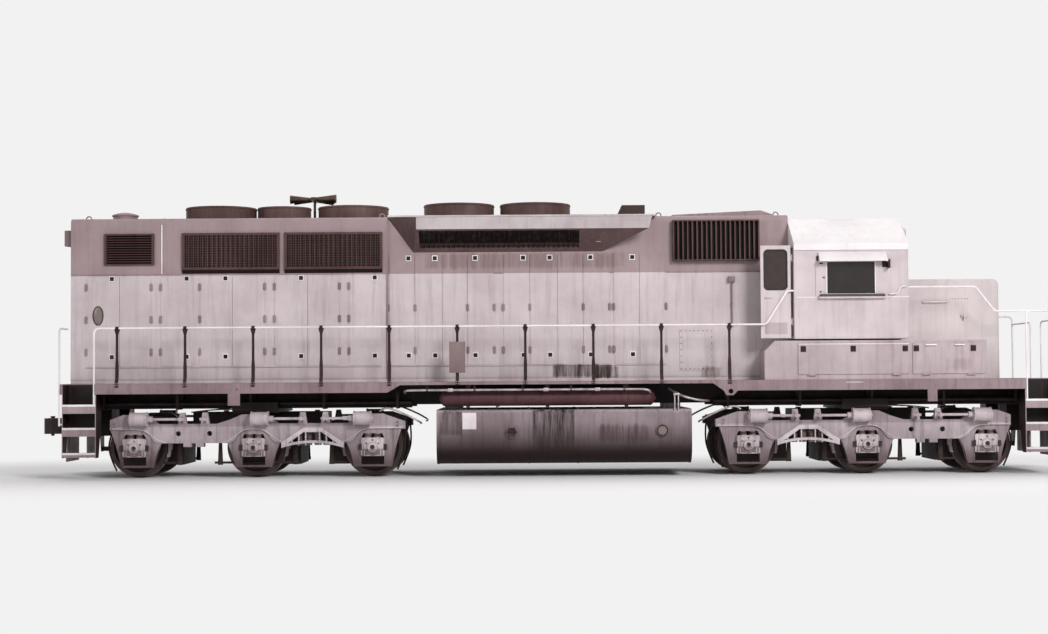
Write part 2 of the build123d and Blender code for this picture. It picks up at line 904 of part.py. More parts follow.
# Fuel tank, hung from the centre sill
tank_hanger_inset = 250.0
tank_hanger_half_length = 150.0
tank_boss_radius = 110.0
tank_boss_proud = 34.0
tank_bosses = [
    # along X, height: the filler and the gauge
    (-843.0, above_rail(760.0)),
    (1748.0, above_rail(775.0)),
]
with BuildPart() as fuel_tank:
    with BuildSketch(Plane.YZ.offset(tank_rear)):
        with Locations((0, (tank_bottom + tank_top) / 2)):
            Rectangle(2 * tank_half_width, tank_top - tank_bottom)
    extrude(amount=tank_front - tank_rear)
    long_edges = fuel_tank.edges().filter_by(Axis.X)
    fillet(long_edges.group_by(Axis.Z)[-1], radius=tank_top_radius)
    fillet(long_edges.group_by(Axis.Z)[0], radius=tank_bottom_radius)
    for hanger_x in (tank_rear + tank_hanger_inset, tank_front - tank_hanger_inset):
        block(
            (hanger_x - tank_hanger_half_length, hanger_x + tank_hanger_half_length),
            (-center_sill_half_width, center_sill_half_width),
            (tank_top - 1, center_sill_bottom),
        )
    # Filler and gauge bosses on both sides
    for boss_x, boss_z in tank_bosses:
        rod(
            (boss_x, -tank_half_width + 1, boss_z),
            (boss_x, -tank_half_width - tank_boss_proud, boss_z),
            tank_boss_radius,
        )
    mirror(about=Plane.XZ)
parts["fuel_tank"] = fuel_tank.part

# Main air reservoirs, strapped under the deck on both sides above the tank
reservoir_dish = 80.0
reservoir_strap_inset = 500.0
reservoir_strap_half_width = 40.0
with BuildPart() as air_reservoirs:
    with BuildSketch(Plane.XY.offset(reservoir_height)) as half_section:
        with BuildLine():
            # Dished heads at both ends of a straight barrel
            wall_y = -reservoir_y - reservoir_radius
            for pole_x, dish in ((reservoir_rear, reservoir_dish), (reservoir_front, -reservoir_dish)):
                TangentArc((pole_x, -reservoir_y), (pole_x + dish, wall_y), tangent=(0, -1))
            Line((reservoir_rear + reservoir_dish, wall_y), (reservoir_front - reservoir_dish, wall_y))
            Line((reservoir_front, -reservoir_y), (reservoir_rear, -reservoir_y))
        make_face()
    revolve(axis=Axis((0, -reservoir_y, reservoir_height), (1, 0, 0)))
    for strap_x in (
        reservoir_rear + reservoir_strap_inset,
        (reservoir_rear + reservoir_front) / 2,
        reservoir_front - reservoir_strap_inset,
    ):
        block(
            (strap_x - reservoir_strap_half_width, strap_x + reservoir_strap_half_width),
            (-reservoir_y - 60, -reservoir_y + 60),
            (reservoir_height, deck_bottom),
        )
    both_sides()
parts["air_reservoirs"] = air_reservoirs.part


# Hoods: folded sheet over posts, open underneath where they stand on the deck
def hood_shell(rear, front, half_width, rear_wall, front_wall):
    # An upside-down trough with rounded shoulders, and an end wall where asked for.
    with BuildSketch(Plane.YZ.offset(rear)) as outer:
        with Locations((0, (deck_top + hood_top) / 2)):
            Rectangle(2 * half_width, hood_top - deck_top)
        fillet(outer.vertices().group_by(Axis.Z)[-1], radius=hood_corner_radius)
    extrude(outer.sketch, amount=front - rear)
    inner_rear = rear + (hood_wall if rear_wall else -1)
    inner_front = front - (hood_wall if front_wall else -1)
    block(
        (inner_rear, inner_front),
        (-half_width + hood_wall, half_width - hood_wall),
        (deck_top - 1, hood_top - hood_wall),
        Mode.SUBTRACT,
    )


# Fans: the three over the radiators, then the two over the brake grids
fans = [
    # middle along X, radius of the opening
    (-6084.0, 610.0),
    (-4943.0, 457.0),
    (-3694.0, 610.0),
    (-1784.0, 610.0),
    (-407.0, 610.0),
]

hatch_rear = radiator_front
hatch_front = 1700.0
hatch_plate = 30.0
roof_lip_rear = 60.0
roof_lip_front = 140.0
with BuildPart() as engine_hood:
    hood_shell(radiator_front, cab_rear, hood_half_width, False, True)
    # Roof opening under the brake hatch
    block(
        (hatch_rear + roof_lip_rear, hatch_front - roof_lip_front),
        (-hood_half_width + hood_corner_radius + 10, hood_half_width - hood_corner_radius - 10),
        (hood_top - hood_wall - 1, hood_top + 1),
        Mode.SUBTRACT,
    )
parts["engine_hood"] = engine_hood.part

with BuildPart() as radiator_hood:
    hood_shell(radiator_rear, radiator_front, radiator_half_width, False, False)
    for fan_x, fan_radius in fans[:3]:
        with Locations((fan_x, 0, hood_top - hood_wall / 2)):
            Cylinder(fan_radius, hood_wall + 2, mode=Mode.SUBTRACT)
parts["radiator_hood"] = radiator_hood.part

with BuildPart() as rear_hood:
    hood_shell(hood_rear, radiator_rear, radiator_half_width, True, False)
parts["rear_hood"] = rear_hood.part

# Brake hatch: the roof panel with the two grid fans and the flared grid boxes on both sides
flare_y = hood_half_width + 400.0
flare_low = above_rail(3903.0)
flare_lip = above_rail(4281.0)
flare_top = hood_top - 40.0
flare_rear = -2485.0
flare_front = 1616.0
flare_inner = [
    # along X, height, on the hood side
    (flare_rear - 75, flare_low),
    (flare_front - 856, flare_low),
    (flare_front + 84, flare_top + 10),
    (flare_rear - 515, flare_top + 10),
]
flare_outer = [
    # along X, height, on the fascia
    (flare_rear, flare_lip),
    (flare_front - 56, flare_lip),
    (flare_front, flare_top),
    (flare_rear, flare_top),
]
grid_rear = flare_rear + 40.0
grid_front = grid_rear + 2800.0
grid_fins = 32
grid_fin_thickness = 12.0
grid_fin_setback = 6.0
grid_depth = 70.0
grid_low_border = 0.155
grid_high_border = 0.08
hatch_top = hood_top + hatch_plate


def grid_section(depth, x, proud=2.0):
    # A strip of the flare's sloping underside, from a little proud of it down to a depth.
    run = flare_y - hood_half_width
    rise = flare_lip - flare_low
    slant = (run**2 + rise**2) ** 0.5
    low = (-hood_half_width - grid_low_border * run, flare_low + grid_low_border * rise)
    high = (-flare_y + grid_high_border * run, flare_lip - grid_high_border * rise)
    inward = (depth * rise / slant, depth * run / slant)
    outward = (-proud * rise / slant, -proud * run / slant)
    corners = [(low, outward), (high, outward), (high, inward), (low, inward)]
    with BuildSketch(Plane.YZ.offset(x)) as section:
        with BuildLine():
            Polyline(*((y + dy, z + dz) for (y, z), (dy, dz) in corners), close=True)
        make_face()
    return section.sketch


with BuildPart() as brake_hatch:
    for depth, outline in ((hood_half_width, flare_inner), (flare_y, flare_outer)):
        with BuildSketch(Plane.XZ.offset(depth)):
            with BuildLine():
                Polyline(*outline, close=True)
            make_face()
    loft(ruled=True)
    # The air opening in the sloping underside, and the upright fins across it
    extrude(grid_section(grid_depth, grid_rear), amount=grid_front - grid_rear, mode=Mode.SUBTRACT)
    fin_pitch = (grid_front - grid_rear) / grid_fins
    for number in range(1, grid_fins):
        fin_x = grid_rear + number * fin_pitch - grid_fin_thickness / 2
        extrude(grid_section(grid_depth + 1, fin_x, -grid_fin_setback), amount=grid_fin_thickness)
    both_sides()
    block((hatch_rear, hatch_front), (-hood_half_width, hood_half_width), (hood_top, hatch_top))
    for fan_x, fan_radius in fans[3:]:
        with Locations((fan_x, 0, hood_top)):
            Cylinder(fan_radius, 3 * hatch_plate, mode=Mode.SUBTRACT)
parts["brake_hatch"] = brake_hatch.part

# Fan shrouds with the motor on its four arms and the guard of bars and rings over the top
rotor_base = 70.0
fan_hub_share = 0.24
guard_bars = 3
guard_bar_width = 14.0
guard_rings = (0.45, 0.75)
guard_height = 12.0
with BuildPart() as fan_shrouds:
    for number, (fan_x, fan_radius) in enumerate(fans):
        base = hood_top if number < 3 else hatch_top
        with Locations((fan_x, 0, base + fan_ring_height / 2)):
            Cylinder(fan_radius + fan_ring_thickness, fan_ring_height)
            Cylinder(fan_radius, fan_ring_height + 2, mode=Mode.SUBTRACT)
        with Locations((fan_x, 0, base + fan_arm_height / 2)):
            Box(2 * fan_radius + fan_ring_thickness, fan_arm_width, fan_arm_height)
            Box(fan_arm_width, 2 * fan_radius + fan_ring_thickness, fan_arm_height)
        with Locations((fan_x, 0, base + fan_arm_height - fan_motor_height / 2)):
            Cylinder(fan_hub_share * fan_radius, fan_motor_height)
        with Locations((fan_x, 0, base + fan_arm_height + fan_shaft_length / 2)):
            Cylinder(fan_shaft_radius, fan_shaft_length)
        guard_plane = Plane(origin=(fan_x, 0, base + fan_ring_height - guard_height))
        with BuildSketch(guard_plane) as guard:
            with PolarLocations(0, guard_bars, angular_range=180):
                Rectangle(2 * fan_radius + fan_ring_thickness, guard_bar_width)
            for share in guard_rings:
                with BuildSketch(mode=Mode.PRIVATE) as ring:
                    Circle(share * fan_radius + guard_bar_width / 2)
                    Circle(share * fan_radius - guard_bar_width / 2, mode=Mode.SUBTRACT)
                add(ring.sketch)
        extrude(guard.sketch, amount=guard_height)
parts["fan_shrouds"] = fan_shrouds.part

# Fan rotors: each blade is drawn out from a steep root to a flat tip
blade_root_share = 0.2
blade_root_chord = 0.34
blade_tip_chord = 0.3
blade_root_thickness = 14.0
blade_tip_thickness = 8.0
for number, (fan_x, fan_radius) in enumerate(fans, start=1):
    base = (hood_top if number <= 3 else hatch_top) + rotor_base
    hub_middle = (fan_x, 0, base + fan_hub_height / 2)
    tip = fan_radius - fan_tip_clearance
    sections = [
        # distance from the shaft, chord, thickness, pitch
        (blade_root_share * fan_radius, blade_root_chord * fan_radius, blade_root_thickness, fan_root_pitch),
        (tip, blade_tip_chord * fan_radius, blade_tip_thickness, fan_tip_pitch),
    ]
    with BuildPart() as blade:
        for distance, chord, thickness, pitch in sections:
            with BuildSketch(Plane(origin=(distance, 0, 0), x_dir=(0, 1, 0), z_dir=(1, 0, 0))):
                Rectangle(chord, thickness, rotation=pitch)
        loft(ruled=True)
    with BuildPart() as fan_rotor:
        with Locations(hub_middle):
            Cylinder(fan_hub_share * fan_radius, fan_hub_height)
            with PolarLocations(0, fan_blades):
                add(blade.part)
            Cylinder(fan_shaft_radius + running_clearance, fan_hub_height + 40, mode=Mode.SUBTRACT)
    parts[f"fan_rotor_{number}"] = fan_rotor.part


# Engine and generator, one plain mass under the hood
engine_rear = -2450.0
engine_front = 2650.0
engine_half_width = hood_half_width - 274.0
engine_top = above_rail(3750.0)
with BuildPart() as engine_block:
    block((engine_rear, engine_front), (-engine_half_width, engine_half_width), (deck_top, engine_top))
parts["engine_block"] = engine_block.part


# Air intake boxes with upright fins, on both sides ahead of the brake hatch
intake_rear = cab_rear - 2036.0
intake_front = cab_rear - 516.0
intake_bottom = above_rail(3720.0)
intake_top = hood_top - 90.0
intake_depth = 125.0
intake_fins = 18
intake_rim = 24.0
intake_back = 30.0
with BuildPart() as intake_grilles:
    block(
        (intake_rear, intake_front),
        (-hood_half_width, -hood_half_width - intake_depth),
        (intake_bottom, intake_top),
    )
    pitch = (intake_front - intake_rear - intake_rim) / intake_fins
    for number in range(intake_fins):
        low = intake_rear + intake_rim + number * pitch
        block(
            (low, low + pitch - intake_rim),
            (-hood_half_width - intake_back, -hood_half_width - intake_depth - 1),
            (intake_bottom + intake_rim, intake_top - intake_rim),
            Mode.SUBTRACT,
        )
    both_sides()
parts["intake_grilles"] = intake_grilles.part

# Radiator shutters and the rear louvre panel, in raised frames
grille_panels = [
    # rear, front, bottom, top, bars
    (radiator_rear + 349, radiator_rear + 2059, above_rail(3619), above_rail(4263), 20),
    (radiator_front - 1802, radiator_front - 83, above_rail(3619), above_rail(4263), 20),
]
grille_depth = 45.0
grille_rim = 40.0
grille_lip = 70.0
grille_bar_half_width = 8.0
grille_back = 12.0
louvre_gap = 10.0
louvre_rear = hood_rear + 595.0
louvre_front = radiator_rear - 141.0
louvre_bottom = above_rail(3705.0)
louvre_top = above_rail(4256.0)
louvre_blades = 12
with BuildPart() as radiator_grilles:
    for rear, front, bottom, top, bars in grille_panels:
        block((rear, front), (-radiator_half_width, -radiator_half_width - grille_depth), (bottom, top))
        prism(
            [
                (-radiator_half_width, bottom - grille_lip),
                (-radiator_half_width - grille_depth, bottom),
                (-radiator_half_width, bottom + 1),
            ],
            Plane.YZ.offset(rear),
            front - rear,
        )
        pitch = (front - rear - 2 * grille_rim) / bars
        for number in range(bars):
            low = rear + grille_rim + number * pitch
            block(
                (low + grille_bar_half_width, low + pitch - grille_bar_half_width),
                (-radiator_half_width - grille_back, -radiator_half_width - grille_depth - 1),
                (bottom + grille_rim, top - grille_rim),
                Mode.SUBTRACT,
            )
    block(
        (louvre_rear, louvre_front),
        (-radiator_half_width, -radiator_half_width - grille_depth),
        (louvre_bottom, louvre_top),
    )
    pitch = (louvre_top - louvre_bottom - grille_rim) / louvre_blades
    for number in range(louvre_blades):
        low = louvre_bottom + grille_rim / 2 + number * pitch
        prism(
            [
                (-radiator_half_width - grille_depth - 1, low),
                (-radiator_half_width - grille_depth - 1, low + pitch - louvre_gap),
                (-radiator_half_width - grille_back, low + pitch - louvre_gap),
            ],
            Plane.YZ.offset(louvre_rear + grille_rim),
            louvre_front - louvre_rear - 2 * grille_rim,
            Mode.SUBTRACT,
        )
    both_sides()
parts["radiator_grilles"] = radiator_grilles.part

# Hood access doors: flat leaves on the hood sides
hood_door_thickness = 12.0
hood_door_bottom = deck_top + 295.0
hood_door_gap = 8.0
radiator_doors_top = above_rail(3500.0)
engine_doors_top = above_rail(3860.0)
radiator_leaves = [
    # rear edge, front edge
    (-8290.0, -7705.0),
    (-7705.0, -7155.0),
    (-6985.0, -6415.0),
    (-6300.0, -5730.0),
    (-5730.0, -5165.0),
    (-4990.0, -4410.0),
    (-4410.0, -3855.0),
    (-3685.0, -3125.0),
]
engine_leaves = [
    (-2990.0, -2535.0),
    (-2535.0, -2055.0),
    (-2055.0, -1610.0),
    (-1610.0, -1145.0),
    (-980.0, -515.0),
    (-515.0, -30.0),
    (-30.0, 420.0),
    (420.0, 880.0),
    (955.0, 1410.0),
    (1410.0, 1870.0),
]
hood_sides = [
    # leaves, half width of the hood there, top of the leaves
    (radiator_leaves, radiator_half_width, radiator_doors_top),
    (engine_leaves, hood_half_width, engine_doors_top),
]
bolted_panel = ((cab_rear - 1921.0, cab_rear - 1336.0), (deck_top + 179.0, deck_top + 893.0))
with BuildPart() as hood_doors:
    block(bolted_panel[0], (-hood_half_width, -hood_half_width - hood_door_thickness), bolted_panel[1])
    for leaves, half_width, top in hood_sides:
        for rear, front in leaves:
            block(
                (rear + hood_door_gap / 2, front - hood_door_gap / 2),
                (-half_width, -half_width - hood_door_thickness),
                (hood_door_bottom, top),
            )
    both_sides()
parts["hood_doors"] = hood_doors.part


# Roof fittings: exhaust stack, intake hatch and rear hatch
stack_rear = 1085.0
stack_front = 1569.0
stack_half_width = 160.0
stack_height = 230.0
stack_wall = 14.0
stack_depth = 140.0
stack_slope = 70.0
stack_foot_inset = 60.0
stack_foot_rise = 80.0
with BuildPart() as exhaust_stack:
    prism(
        [
            (stack_rear + stack_foot_inset, hatch_top),
            (stack_rear, hatch_top + stack_foot_rise),
            (stack_rear + stack_slope, hatch_top + stack_height),
            (stack_front, hatch_top + stack_height),
            (stack_front, hatch_top),
        ],
        Plane.XZ.offset(-stack_half_width),
        2 * stack_half_width,
    )
    block(
        (stack_rear + stack_slope + stack_wall, stack_front - stack_wall),
        (-stack_half_width + stack_wall, stack_half_width - stack_wall),
        (hatch_top + stack_height - stack_depth, hatch_top + stack_height + 1),
        Mode.SUBTRACT,
    )
parts["exhaust_stack"] = exhaust_stack.part

intake_hatch_half_width = 700.0
intake_hatch_rear = cab_rear - 2014.0
intake_hatch_peak = cab_rear - 450.0
intake_hatch_front = cab_rear - 244.0
intake_hatch_edge = 30.0
intake_hatch_rise = 100.0
sand_hatch_x = hood_rear + 742.0
sand_hatch_radius = 240.0
sand_hatch_height = 120.0
sand_lid_height = 70.0
sand_lid_rim = 20.0
rear_hatch_length = 230.0
rear_hatch_half_width = 420.0
rear_hatch_height = 40.0
with BuildPart() as roof_hatches:
    # The raised intake hatch ahead of the brake hatch, highest towards the cab
    prism(
        [
            (intake_hatch_rear, hood_top),
            (intake_hatch_rear, hood_top + intake_hatch_edge),
            (intake_hatch_peak, hood_top + intake_hatch_rise),
            (intake_hatch_front, hood_top + intake_hatch_edge),
            (intake_hatch_front, hood_top),
        ],
        Plane.XZ.offset(-intake_hatch_half_width),
        2 * intake_hatch_half_width,
    )
    # The sand filler near the rear end, with its domed lid
    with BuildSketch(Plane(origin=(sand_hatch_x, 0, hood_top), x_dir=(1, 0, 0), z_dir=(0, -1, 0))):
        with BuildLine():
            Polyline(
                (0, sand_hatch_height + sand_lid_height),
                (0, 0),
                (sand_hatch_radius - sand_lid_rim, 0),
                (sand_hatch_radius - sand_lid_rim, sand_hatch_height),
                (sand_hatch_radius, sand_hatch_height),
                (sand_hatch_radius, sand_hatch_height + sand_lid_rim),
            )
            TangentArc(
                (0, sand_hatch_height + sand_lid_height),
                (sand_hatch_radius, sand_hatch_height + sand_lid_rim),
                tangent=(1, 0),
            )
        make_face()
    revolve(axis=Axis((sand_hatch_x, 0, hood_top), (0, 0, 1)))
    rear_hatch_rear = sand_hatch_x + sand_hatch_radius + 10
    block(
        (rear_hatch_rear, rear_hatch_rear + rear_hatch_length),
        (-rear_hatch_half_width, rear_hatch_half_width),
        (hood_top, hood_top + rear_hatch_height),
    )
parts["roof_hatches"] = roof_hatches.part

horn_x = -4395.0
horn_post_height = 400.0
horn_bell_radius = 78.0
horn_throat_radius = 28.0
horn_post_radius = 24.0
horn_bar_half_length = 260.0
horn_bar_half_height = 30.0
horn_bar_half_width = 40.0
trumpets = [
    # across, length, +1 forward or -1 rearward
    (-210.0, 380.0, 1),
    (0.0, 330.0, 1),
    (210.0, 280.0, 1),
    (-110.0, 400.0, -1),
    (110.0, 350.0, -1),
]
with BuildPart() as horn:
    horn_height = hood_top + horn_post_height
    rod((horn_x, 0, hood_top), (horn_x, 0, horn_height), horn_post_radius)
    block(
        (horn_x - horn_bar_half_width, horn_x + horn_bar_half_width),
        (-horn_bar_half_length, horn_bar_half_length),
        (horn_height - horn_bar_half_height, horn_height + horn_bar_half_height),
    )
    for across, length, way in trumpets:
        throat = Plane(origin=(horn_x + way * 30, across, horn_height), z_dir=(way, 0, 0))
        with BuildSketch(throat):
            Circle(horn_throat_radius)
        with BuildSketch(throat.offset(length)):
            Circle(horn_bell_radius)
        loft()
parts["horn"] = horn.part


# Cab: floor, walls with their window and door openings, and the base under the middle
side_window = ((cab_rear + 552.0, cab_front - 560.0), (cab_floor + 763.0, cab_eave - 285.0))
front_window = ((150.0, hood_half_width - 74.0), (nose_top + 93.0, cab_eave - 85.0))
corner_window = ((hood_half_width + 66.0, body_half_width - 122.0), (cab_floor + 801.0, cab_eave - 105.0))
sash_rear = 180.0
sash_border = 40.0
sash_proud = 14.0
ledge_height = 30.0
ledge_proud = 70.0
ledge_rear = 130.0
ledge_front = 160.0
doorway_y = (hinge_y - door_lap - 8, hinge_y - door_width + door_lap - 8)
doorway_z = (cab_floor + cab_floor_thickness, door_sill + door_height - door_lap)
hinge_heights = (door_sill + hinge_inset, door_sill + door_height - hinge_inset)
rear_hinge_x = cab_rear - hinge_stand
front_hinge_x = cab_front + hinge_stand
# Each cab door: side of the cab, end wall, hinge line
door_hinges = {
    "rear": (-1, cab_rear, rear_hinge_x),
    "front": (1, cab_front, front_hinge_x),
}
with BuildPart() as cab_body:
    block((cab_rear, cab_front), (-body_half_width, body_half_width), (cab_floor, cab_eave))
    block(
        (cab_rear + cab_wall, cab_front - cab_wall),
        (-body_half_width + cab_wall, body_half_width - cab_wall),
        (cab_floor + cab_floor_thickness, cab_eave + 1),
        Mode.SUBTRACT,
    )
    block((cab_rear, cab_front), (-hood_half_width, hood_half_width), (deck_top, cab_floor))
    for side in (-1, 1):
        # The sash frame stands a little proud, with the arm rest under it
        block(
            (side_window[0][0] - sash_rear, side_window[0][1] + sash_border),
            (side * (body_half_width - 1), side * (body_half_width + sash_proud)),
            (side_window[1][0] - sash_border, side_window[1][1] + sash_border),
        )
        block(
            (side_window[0][0] - ledge_rear, side_window[0][1] + ledge_front),
            (side * (body_half_width - 1), side * (body_half_width + ledge_proud)),
            (side_window[1][0] - sash_border - ledge_height, side_window[1][0] - sash_border),
        )
    block(
        side_window[0],
        (-body_half_width - sash_proud - 1, body_half_width + sash_proud + 1),
        side_window[1],
        Mode.SUBTRACT,
    )
    front_wall = (cab_front - cab_wall - 1, cab_front + 1)
    rear_wall = (cab_rear - 1, cab_rear + cab_wall + 1)
    for side in (-1, 1):
        block(front_wall, [side * y for y in front_window[0]], front_window[1], Mode.SUBTRACT)
    block(front_wall, [-y for y in corner_window[0]], corner_window[1], Mode.SUBTRACT)
    block(rear_wall, corner_window[0], corner_window[1], Mode.SUBTRACT)
    for side, wall_x, hinge_x in door_hinges.values():
        block(
            (wall_x - cab_wall - 1, wall_x + cab_wall + 1),
            [side * y for y in doorway_y],
            doorway_z,
            Mode.SUBTRACT,
        )
        for height in hinge_heights:
            # Two lugs and the pin that joins them
            for low in (height - hinge_lug_height - 0.5, height + hinge_barrel_height + 0.5):
                with Locations((hinge_x, side * hinge_y, low + hinge_lug_height / 2)):
                    Cylinder(hinge_barrel_radius, hinge_lug_height)
                block(
                    (hinge_x, wall_x),
                    (side * hinge_y - hinge_leaf_half, side * hinge_y + hinge_leaf_half),
                    (low, low + hinge_lug_height),
                )
            with Locations((hinge_x, side * hinge_y, height + hinge_barrel_height / 2)):
                Cylinder(hinge_pin_radius, hinge_barrel_height + 4)
parts["cab_body"] = cab_body.part

with BuildPart() as cab_roof:
    prism(
        [
            (-body_half_width - eave_overhang, cab_eave),
            (-body_half_width - eave_overhang, cab_eave + eave_height),
            (-cab_roof_half_top, cab_roof_top),
            (cab_roof_half_top, cab_roof_top),
            (body_half_width + eave_overhang, cab_eave + eave_height),
            (body_half_width + eave_overhang, cab_eave),
        ],
        Plane.YZ.offset(cab_rear),
        cab_front - cab_rear,
    )
    prism(
        [
            (-body_half_width + cab_wall, cab_eave - 1),
            (-cab_roof_half_top + 20, cab_roof_top - roof_skin),
            (cab_roof_half_top - 20, cab_roof_top - roof_skin),
            (body_half_width - cab_wall, cab_eave - 1),
        ],
        Plane.YZ.offset(cab_rear + cab_wall),
        cab_front - cab_rear - 2 * cab_wall,
        Mode.SUBTRACT,
    )
    # Gutters that lap over the side walls
    for side in (-1, 1):
        block(
            (cab_rear, cab_front),
            (side * body_half_width, side * (body_half_width + eave_overhang)),
            (cab_eave - gutter_height, cab_eave),
        )
parts["cab_roof"] = cab_roof.part

# Awnings over the side windows: a sloping blade between two bracket plates
awning_top = cab_eave - 112.0
awning_drop = 158.0
awning_reach = 190.0
awning_thickness = 10.0
awning_bracket = 12.0
awning_bracket_share = 0.75
awning_x = (side_window[0][0] - 130.0, side_window[0][1] + 178.0)
with BuildPart() as cab_awnings:
    awning_plane = Plane.YZ.offset(awning_x[0])
    prism(
        [
            (-body_half_width, awning_top),
            (-body_half_width - awning_reach, awning_top - awning_drop),
            (-body_half_width - awning_reach, awning_top - awning_drop - awning_thickness),
            (-body_half_width, awning_top - 2 * awning_thickness),
        ],
        awning_plane,
        awning_x[1] - awning_x[0],
    )
    for bracket_x in (awning_x[0], awning_x[1] - awning_bracket):
        prism(
            [
                (-body_half_width, awning_top - awning_thickness),
                (-body_half_width - awning_reach, awning_top - awning_drop - awning_thickness / 2),
                (-body_half_width - awning_reach * awning_bracket_share, awning_top - awning_drop - 20),
                (-body_half_width, awning_top - awning_drop + 30),
            ],
            Plane.YZ.offset(bracket_x),
            awning_bracket,
        )
    both_sides()
parts["cab_awnings"] = cab_awnings.part

with BuildPart() as cab_glass:
    glass_inset = (cab_wall - glass_thickness) / 2
    for side in (-1, 1):
        outer = side * (body_half_width - glass_inset)
        block(side_window[0], (outer, outer - side * glass_thickness), side_window[1])
        front_outer = cab_front - glass_inset
        block(
            (front_outer, front_outer - glass_thickness),
            [side * y for y in front_window[0]],
            front_window[1],
        )
    block(
        (cab_front - glass_inset, cab_front - glass_inset - glass_thickness),
        [-y for y in corner_window[0]],
        corner_window[1],
    )
    block(
        (cab_rear + glass_inset, cab_rear + glass_inset + glass_thickness),
        corner_window[0],
        corner_window[1],
    )
parts["cab_glass"] = cab_glass.part

# Cab doors: the rear one stands open along the cab side, the front one is shut
door_window_margin = 60.0
door_window_corner = 70.0
door_window_bottom = door_sill + 834.0
door_window_top = door_sill + door_height - 76.0


def cab_door(hinge, along, across):
    # A leaf that starts beside its hinge line and runs in the direction "along".
    def span(near, far, low_side, high_side):
        corners = [
            (hinge[0] + d * along[0] + e * across[0], hinge[1] + d * along[1] + e * across[1])
            for d, e in ((near, low_side), (far, high_side))
        ]
        return [c[0] for c in corners], [c[1] for c in corners]

    half = door_thickness / 2
    x_limits, y_limits = span(door_inner_gap, door_inner_gap + door_width, -half, half)
    block(x_limits, y_limits, (door_sill, door_sill + door_height))
    # The rounded window, cut through, and its pane
    middle = door_inner_gap + door_width / 2
    window_center = (
        hinge[0] + middle * along[0],
        hinge[1] + middle * along[1],
        (door_window_bottom + door_window_top) / 2,
    )
    window_plane = Plane(origin=window_center, x_dir=(*along, 0), z_dir=(*across, 0))
    window_size = (door_width - 2 * door_window_margin, door_window_top - door_window_bottom)
    for thickness, mode in ((door_thickness + 2, Mode.SUBTRACT), (glass_thickness, Mode.ADD)):
        with BuildSketch(window_plane) as window:
            RectangleRounded(*window_size, radius=door_window_corner)
        extrude(window.sketch, amount=thickness / 2, both=True, mode=mode)
    for height in hinge_heights:
        with Locations((hinge[0], hinge[1], height + hinge_barrel_height / 2)):
            Cylinder(hinge_barrel_radius, hinge_barrel_height)
        x_limits, y_limits = span(0, door_inner_gap + 5, -hinge_leaf_half, hinge_leaf_half)
        block(x_limits, y_limits, (height, height + hinge_barrel_height))
        with Locations((hinge[0], hinge[1], height + hinge_barrel_height / 2)):
            Cylinder(hinge_pin_radius + running_clearance, hinge_barrel_height + 2, mode=Mode.SUBTRACT)


with BuildPart() as cab_door_rear:
    cab_door((rear_hinge_x, -hinge_y), (-1, 0), (0, 1))
parts["cab_door_rear"] = cab_door_rear.part

with BuildPart() as cab_door_front:
    cab_door((front_hinge_x, hinge_y), (0, -1), (1, 0))
parts["cab_door_front"] = cab_door_front.part

# Cab inside: control stand and two seats on pedestals
floor_top = cab_floor + cab_floor_thickness
seat_y = body_half_width - 482.0
seat_x = cab_front - 1101.0
seat_half = 230.0
seat_height = floor_top + 400.0
seat_thickness = 90.0
backrest_height = 510.0
backrest_thickness = 80.0
seat_pedestal_radius = 60.0
stand_rear = cab_front - 851.0
stand_front = cab_front - 581.0
stand_height = 1150.0
stand_slope = 250.0
stand_slope_run = 91.0
stand_near = hood_half_width - 614.0
stand_width = hood_half_width - 394.0
bulkhead_height = 520.0
bulkhead_half_width = hood_half_width + 86.0
with BuildPart() as cab_interior:
    # Control stand on the engineer's side and the raised floor over the nose bulkhead
    prism(
        [
            (stand_rear, floor_top),
            (stand_rear, floor_top + stand_height - stand_slope),
            (stand_rear + stand_slope_run, floor_top + stand_height),
            (stand_front, floor_top + stand_height),
            (stand_front, floor_top),
        ],
        Plane.XZ.offset(stand_near),
        stand_width,
    )
    block(
        (stand_front, cab_front - cab_wall),
        (-bulkhead_half_width, bulkhead_half_width),
        (floor_top, floor_top + bulkhead_height),
    )
    for side in (-1, 1):
        seat_middle = (seat_x, side * seat_y)
        rod((*seat_middle, floor_top), (*seat_middle, seat_height + 20), seat_pedestal_radius)
        block(
            (seat_x - seat_half, seat_x + seat_half),
            (side * seat_y - seat_half, side * seat_y + seat_half),
            (seat_height, seat_height + seat_thickness),
        )
        block(
            (seat_x - seat_half, seat_x - seat_half + backrest_thickness),
            (side * seat_y - seat_half + 10, side * seat_y + seat_half - 10),
            (seat_height + seat_thickness, seat_height + seat_thickness + backrest_height),
        )
parts["cab_interior"] = cab_interior.part


# Short nose and the battery boxes beside the cab
with BuildPart() as nose:
    block((cab_front, nose_front), (-hood_half_width, hood_half_width), (deck_top, nose_top))
    upright = nose.edges().filter_by(Axis.Z).group_by(Axis.X)[-1]
    brow = nose.edges().filter_by(Axis.Y).group_by(Axis.X)[-1].group_by(Axis.Z)[-1]
    fillet(upright + brow, radius=nose_corner_radius)
parts["nose"] = nose.part

battery_skin = 20.0
battery_hinge_y = body_half_width + 16.0
battery_hinge_z = battery_door_bottom - 14.0
battery_hinge_radius = 10.0
battery_pin_radius = 5.0
battery_barrel_length = 100.0
battery_doors = {
    # rear edge and front edge of each door
    "battery": (cab_front + 59.0, battery_front - 36.0),
    "locker": (cab_rear + 60.0, cab_front + 4.0),
}
hinge_insets = (180.0, 280.0)
battery_lug_length = 20.0


def door_barrels(rear, front):
    # Where the two hinge barrels of a door start along X.
    return rear + hinge_insets[0], front - hinge_insets[1]


